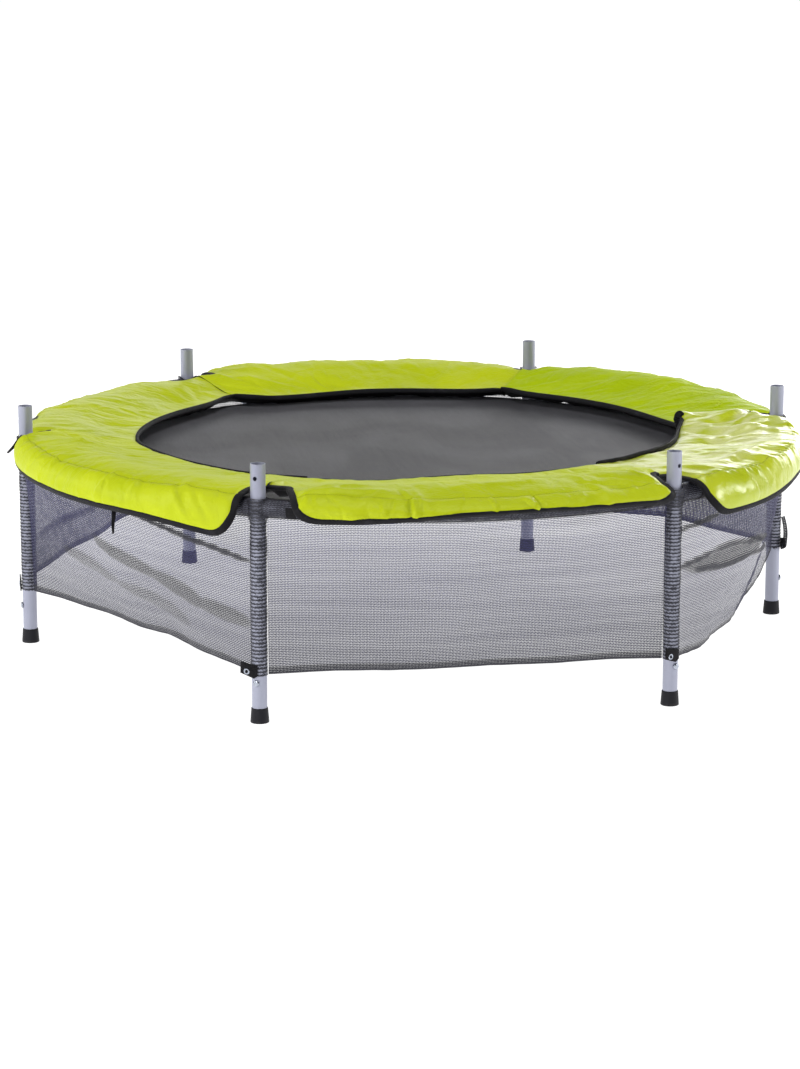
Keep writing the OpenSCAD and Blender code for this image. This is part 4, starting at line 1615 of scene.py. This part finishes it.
PANELS = (
    Panel(
        edge_r=(0.48, 0.477, 0.476, 0.477, 0.478),
        edge_h=(0.37, 0.3715, 0.3785, 0.376, 0.377),
        edge_fall=(0.007, 0.006, 0.004, 0.004, 0.004),
        drop=(0.042, 0.037, 0.0235, 0.0235, 0.034),
        belly=(0.04, 0.044, 0.05, 0.048, 0.04),
        start=PanelEnd(seam_flare=0.017, flare=0.03, outer_bend=0.03, valley=0.013, valley_w=0.05),
        stop=PanelEnd(half_w=0.02, seam_flare=0.012, flare=0.016, outer_bend=0.036),
        gather=0.0003,
        groove=0.0006,
        edge_tape_w=0.0034,
        scatter=(
            Scatter(11, 30, 0.003),
            Scatter(12, 8, 0.0026, (0.03, 0.07), (0.003, 0.005), (-0.4, 0.4), (0.72, 0.95)),
        ),
        creases=folds(
            (0.292, 0.8, 0.3, 0.97, 0.003, 0.0026, 0.6),
            (0.325, 0.62, 0.352, 0.8, 0.005, 0.005, -0.6),
            (0.349, 0.77, 0.35, 0.985, -0.0045, 0.0024, 0.5),
            (0.358, 0.78, 0.362, 0.985, 0.005, 0.003, 0.5),
            (0.288, 0.765, 0.345, 0.772, -0.0034, 0.003),
            (0.522, 0.74, 0.524, 0.97, 0.0034, 0.0028, 0.5),
            (0.59, 0.8, 0.612, 0.98, 0.0055, 0.0036, -0.7),
            (0.619, 0.72, 0.62, 0.98, -0.005, 0.0024, 0.4),
            (0.09, 0.72, 0.27, 0.5, 0.005, 0.009, 0.5),
            (0.1, 0.76, 0.28, 0.66, 0.004, 0.008, -0.5),
            (0.46, 0.6, 0.68, 0.5, 0.004, 0.01, 0.4),
            (0.76, 0.62, 0.89, 0.76, -0.004, 0.007, 0.4),
        ),
    ),
    Panel(
        edge_r=(0.478, 0.478, 0.48, 0.482, 0.482),
        edge_h=(0.377, 0.372, 0.3675, 0.364, 0.3825),
        edge_fall=(0.004, 0.005, 0.006, 0.01, 0.016),
        seam_r=(0.695, 0.711, 0.703, 0.688, 0.684),
        seam_h=(0.3858, 0.3858, 0.385, 0.382, 0.381),
        drop=(0.069, 0.062, 0.055, 0.052, 0.05),
        belly=(0.048, 0.036, 0.02, 0.026, 0.028),
        start=PanelEnd(half_w=0.03, seam_flare=0.004, flare=0.009),
        stop=PanelEnd(
            half_w=0.022, flare=0.0, kink=0.0315, kink_w=0.085,
            valley=0.018, valley_w=0.03, over=0.0165, lift=0.014,
        ),
        finish=GLOSSY,
        gather=0.0014,
        gather_pitch=0.01,
        crown=0.004,
        soft=0.0034,
        crumple=0.0022,
        edge_tape_w=0.0085,
        scatter=(
            Scatter(21, 16, 0.007, (0.08, 0.2), (0.012, 0.026), (-1.5, 1.5), (0.1, 0.74)),
            Scatter(22, 26, 0.0034, (0.015, 0.035), (0.0025, 0.0045), (-0.3, 0.3), (0.74, 0.84)),
        ),
    ),
    Panel(
        edge_r=(0.482, 0.48, 0.48, 0.482, 0.482),
        seam_r=(0.69, 0.697, 0.7028, 0.7028, 0.7),
        seam_h=(0.375, 0.3765, 0.382, 0.385, 0.374),
        foam_out=0.004,
        belly=(0.024, 0.028, 0.036, 0.036, 0.036),
        start=PanelEnd(half_w=0.026, kink=0.018, kink_w=0.09),
        stop=PanelEnd(half_w=0.031, kink=0.036, kink_w=0.075, valley=0.008, valley_w=0.03),
        # Its darker colours are painted shade.
        finish=SHADED,
        scatter=(Scatter(31, 24, 0.0028, (0.08, 0.24), (0.007, 0.014), (0.3, 1.2)),),
    ),
    Panel(
        edge_h=(0.36, 0.3595, 0.359, 0.356, 0.36),
        seam_h=(0.374, 0.3826, 0.3835, 0.385, 0.38),
        start=PanelEnd(half_w=0.022, kink=0.036, kink_w=0.075, valley=0.006, valley_w=0.02),
        stop=PanelEnd(kink=0.05, kink_w=0.045),
        scatter=(Scatter(41, 22, 0.0024, (0.08, 0.22), (0.007, 0.014), (-1.3, -0.3)),),
    ),
    Panel(
        edge_r=(0.484, 0.481, 0.48, 0.484, 0.49),
        edge_h=(0.36, 0.3615, 0.3625, 0.3625, 0.3625),
        foam_out=0.0035,
        seam_r=(0.698, 0.696, 0.696, 0.694, 0.692),
        seam_h=(0.372, 0.3735, 0.373, 0.371, 0.372),
        belly=(0.02, 0.017, 0.017, 0.017, 0.018),
        crown=0.012,
        start=PanelEnd(kink=0.05, kink_w=0.1, over=0.01, valley=0.0),
        stop=PanelEnd(flare=0.03, outer_bend=0.05, valley=0.006),
        gather=0.001,
        finish=SATIN,
        scatter=(
            Scatter(51, 22, 0.0024, (0.05, 0.18), (0.007, 0.015), (-1.4, 1.4)),
            Scatter(52, 16, 0.0026, (0.03, 0.07), (0.004, 0.007), (-0.9, 0.9), (0.6, 0.85)),
        ),
    ),
    Panel(
        edge_r=(0.49, 0.48, 0.478, 0.478, 0.48),
        edge_h=(0.363, 0.366, 0.368, 0.3675, 0.37),
        edge_fall=(0.006, 0.007, 0.008, 0.007, 0.007),
        seam_r=(0.688, 0.697, 0.704, 0.7028, 0.7028),
        seam_h=(0.386, 0.389, 0.3858, 0.3858, 0.3858),
        drop=(0.048, 0.05, 0.052, 0.058, 0.08),
        belly=(0.018, 0.036, 0.036, 0.036, 0.036),
        start=PanelEnd(half_w=0.03, valley=0.003),
        stop=PanelEnd(half_w=0.024, flare=0.004, outer_bend=0.03, valley=0.013, valley_w=0.05),
        gather=0.0014,
        gather_pitch=0.022,
        scatter=(
            Scatter(61, 30, 0.0028, (0.06, 0.18), (0.006, 0.014)),
            Scatter(62, 16, 0.0028, (0.03, 0.06), (0.003, 0.006), (-0.4, 0.4), (0.74, 0.96)),
        ),
        creases=folds(
            (0.36, 0.7, 0.4, 0.86, 0.0034, 0.004, 0.5),
            (0.62, 0.74, 0.6, 0.97, 0.003, 0.0036, -0.5),
            (0.7, 0.75, 0.7, 0.97, 0.0034, 0.0036, 0.5),
            (0.8, 0.8, 0.87, 0.98, 0.0036, 0.006, 0.4),
            (0.86, 0.8, 0.92, 0.96, -0.003, 0.005, 0.4),
            (0.1, 0.3, 0.34, 0.62, 0.004, 0.012, 0.6),
            (0.02, 0.55, 0.2, 0.4, -0.004, 0.009, -0.5),
        ),
    ),
)

NET_BAYS = (
    NetBay(sag=(0.0, 0.001, 0.001, 0.0, -0.002, 0.0), billow=0.012),
    NetBay(
        sag=(0.006, 0.026, 0.04, 0.045, 0.042, 0.026, 0.0),
        billow=0.014,
        pleat=0.0014,
        folds=doubled_folds(
            (-0.01, 0.44, 0.18, 0.365, 0.006, 0.005, 0.9),
            (0.13, 0.37, 0.35, 0.37, 0.006, 0.005, 0.8),
            (0.29, 0.365, 0.62, 0.48, 0.006, 0.005, 0.9),
            (0.07, 0.46, 0.3, 0.487, 0.007, 0.006, 1.0),
            (0.22, 0.485, 0.46, 0.475, 0.007, 0.006, 1.0),
            (0.38, 0.47, 0.66, 0.57, 0.006, 0.005, 0.9),
            (0.0, 0.43, 0.56, 0.45, 0.004, 0.02, 0.5),
            (-0.01, 0.19, 0.17, 0.12, 0.004, 0.004, 0.9),
            (0.02, 0.43, 0.022, 0.61, 0.004, 0.004, 0.7),
        ),
    ),
    NetBay(sag=(-0.008, -0.013, -0.017, -0.006, -0.002, 0.0), close=True),
    NetBay(close=True),
    NetBay(
        sag=(0.0, -0.01, -0.018, -0.023, -0.024, -0.022),
        close=True,
        folds=doubled_folds((0.97, 0.71, 0.52, 0.79, 0.004, 0.007, 0.7)),
    ),
    NetBay(
        sag=(0.0, -0.0025, -0.004, -0.002, -0.009, -0.006, 0.0),
        billow=0.014,
        pleat=0.0012,
        folds=doubled_folds(
            (0.2, 0.55, 0.53, 0.66, 0.008, 0.016, 0.32),
            (0.45, 0.64, 0.8, 0.86, 0.008, 0.018, 0.32),
            (0.42, 0.35, 0.7, 0.57, 0.009, 0.017, 0.42),
            (0.62, 0.52, 0.86, 0.67, 0.009, 0.019, 0.42),
            (0.78, 0.64, 1.02, 0.69, 0.008, 0.016, 0.4),
            (0.58, 0.07, 0.84, 0.225, 0.005, 0.0042, 1.0),
            (0.76, 0.195, 1.01, 0.3, 0.005, 0.0042, 1.0),
        ),
    ),
)
# Each sleeve's painted highlight: the bearing, in degrees, of a thinned strip facing the camera.
SLEEVE_HIGHLIGHT_BEARINGS = (-119.0, -82.0, -95.0, -100.0, -90.0, -117.0)


def main() -> None:
    """Builds the trampoline, piece by piece, and reports each."""
    logging.basicConfig(level=logging.INFO, format="%(message)s")
    Studio().build()
    layout = Layout.measured()
    log.info("layout %s", layout)
    log.info("kept nodes dressed: %d", FrameSteel().dress())
    groups = {
        "suspension": Suspension(layout),
        "pad": PadCover(layout, PANELS),
        "pad ties": PadTies(layout),
        "net": LegNet(layout, NET_BAYS, SLEEVE_HIGHLIGHT_BEARINGS),
    }
    for name, group in groups.items():
        log.info("%s: %d pieces", name, len(group.build()))


if __name__ == "__main__":
    main()
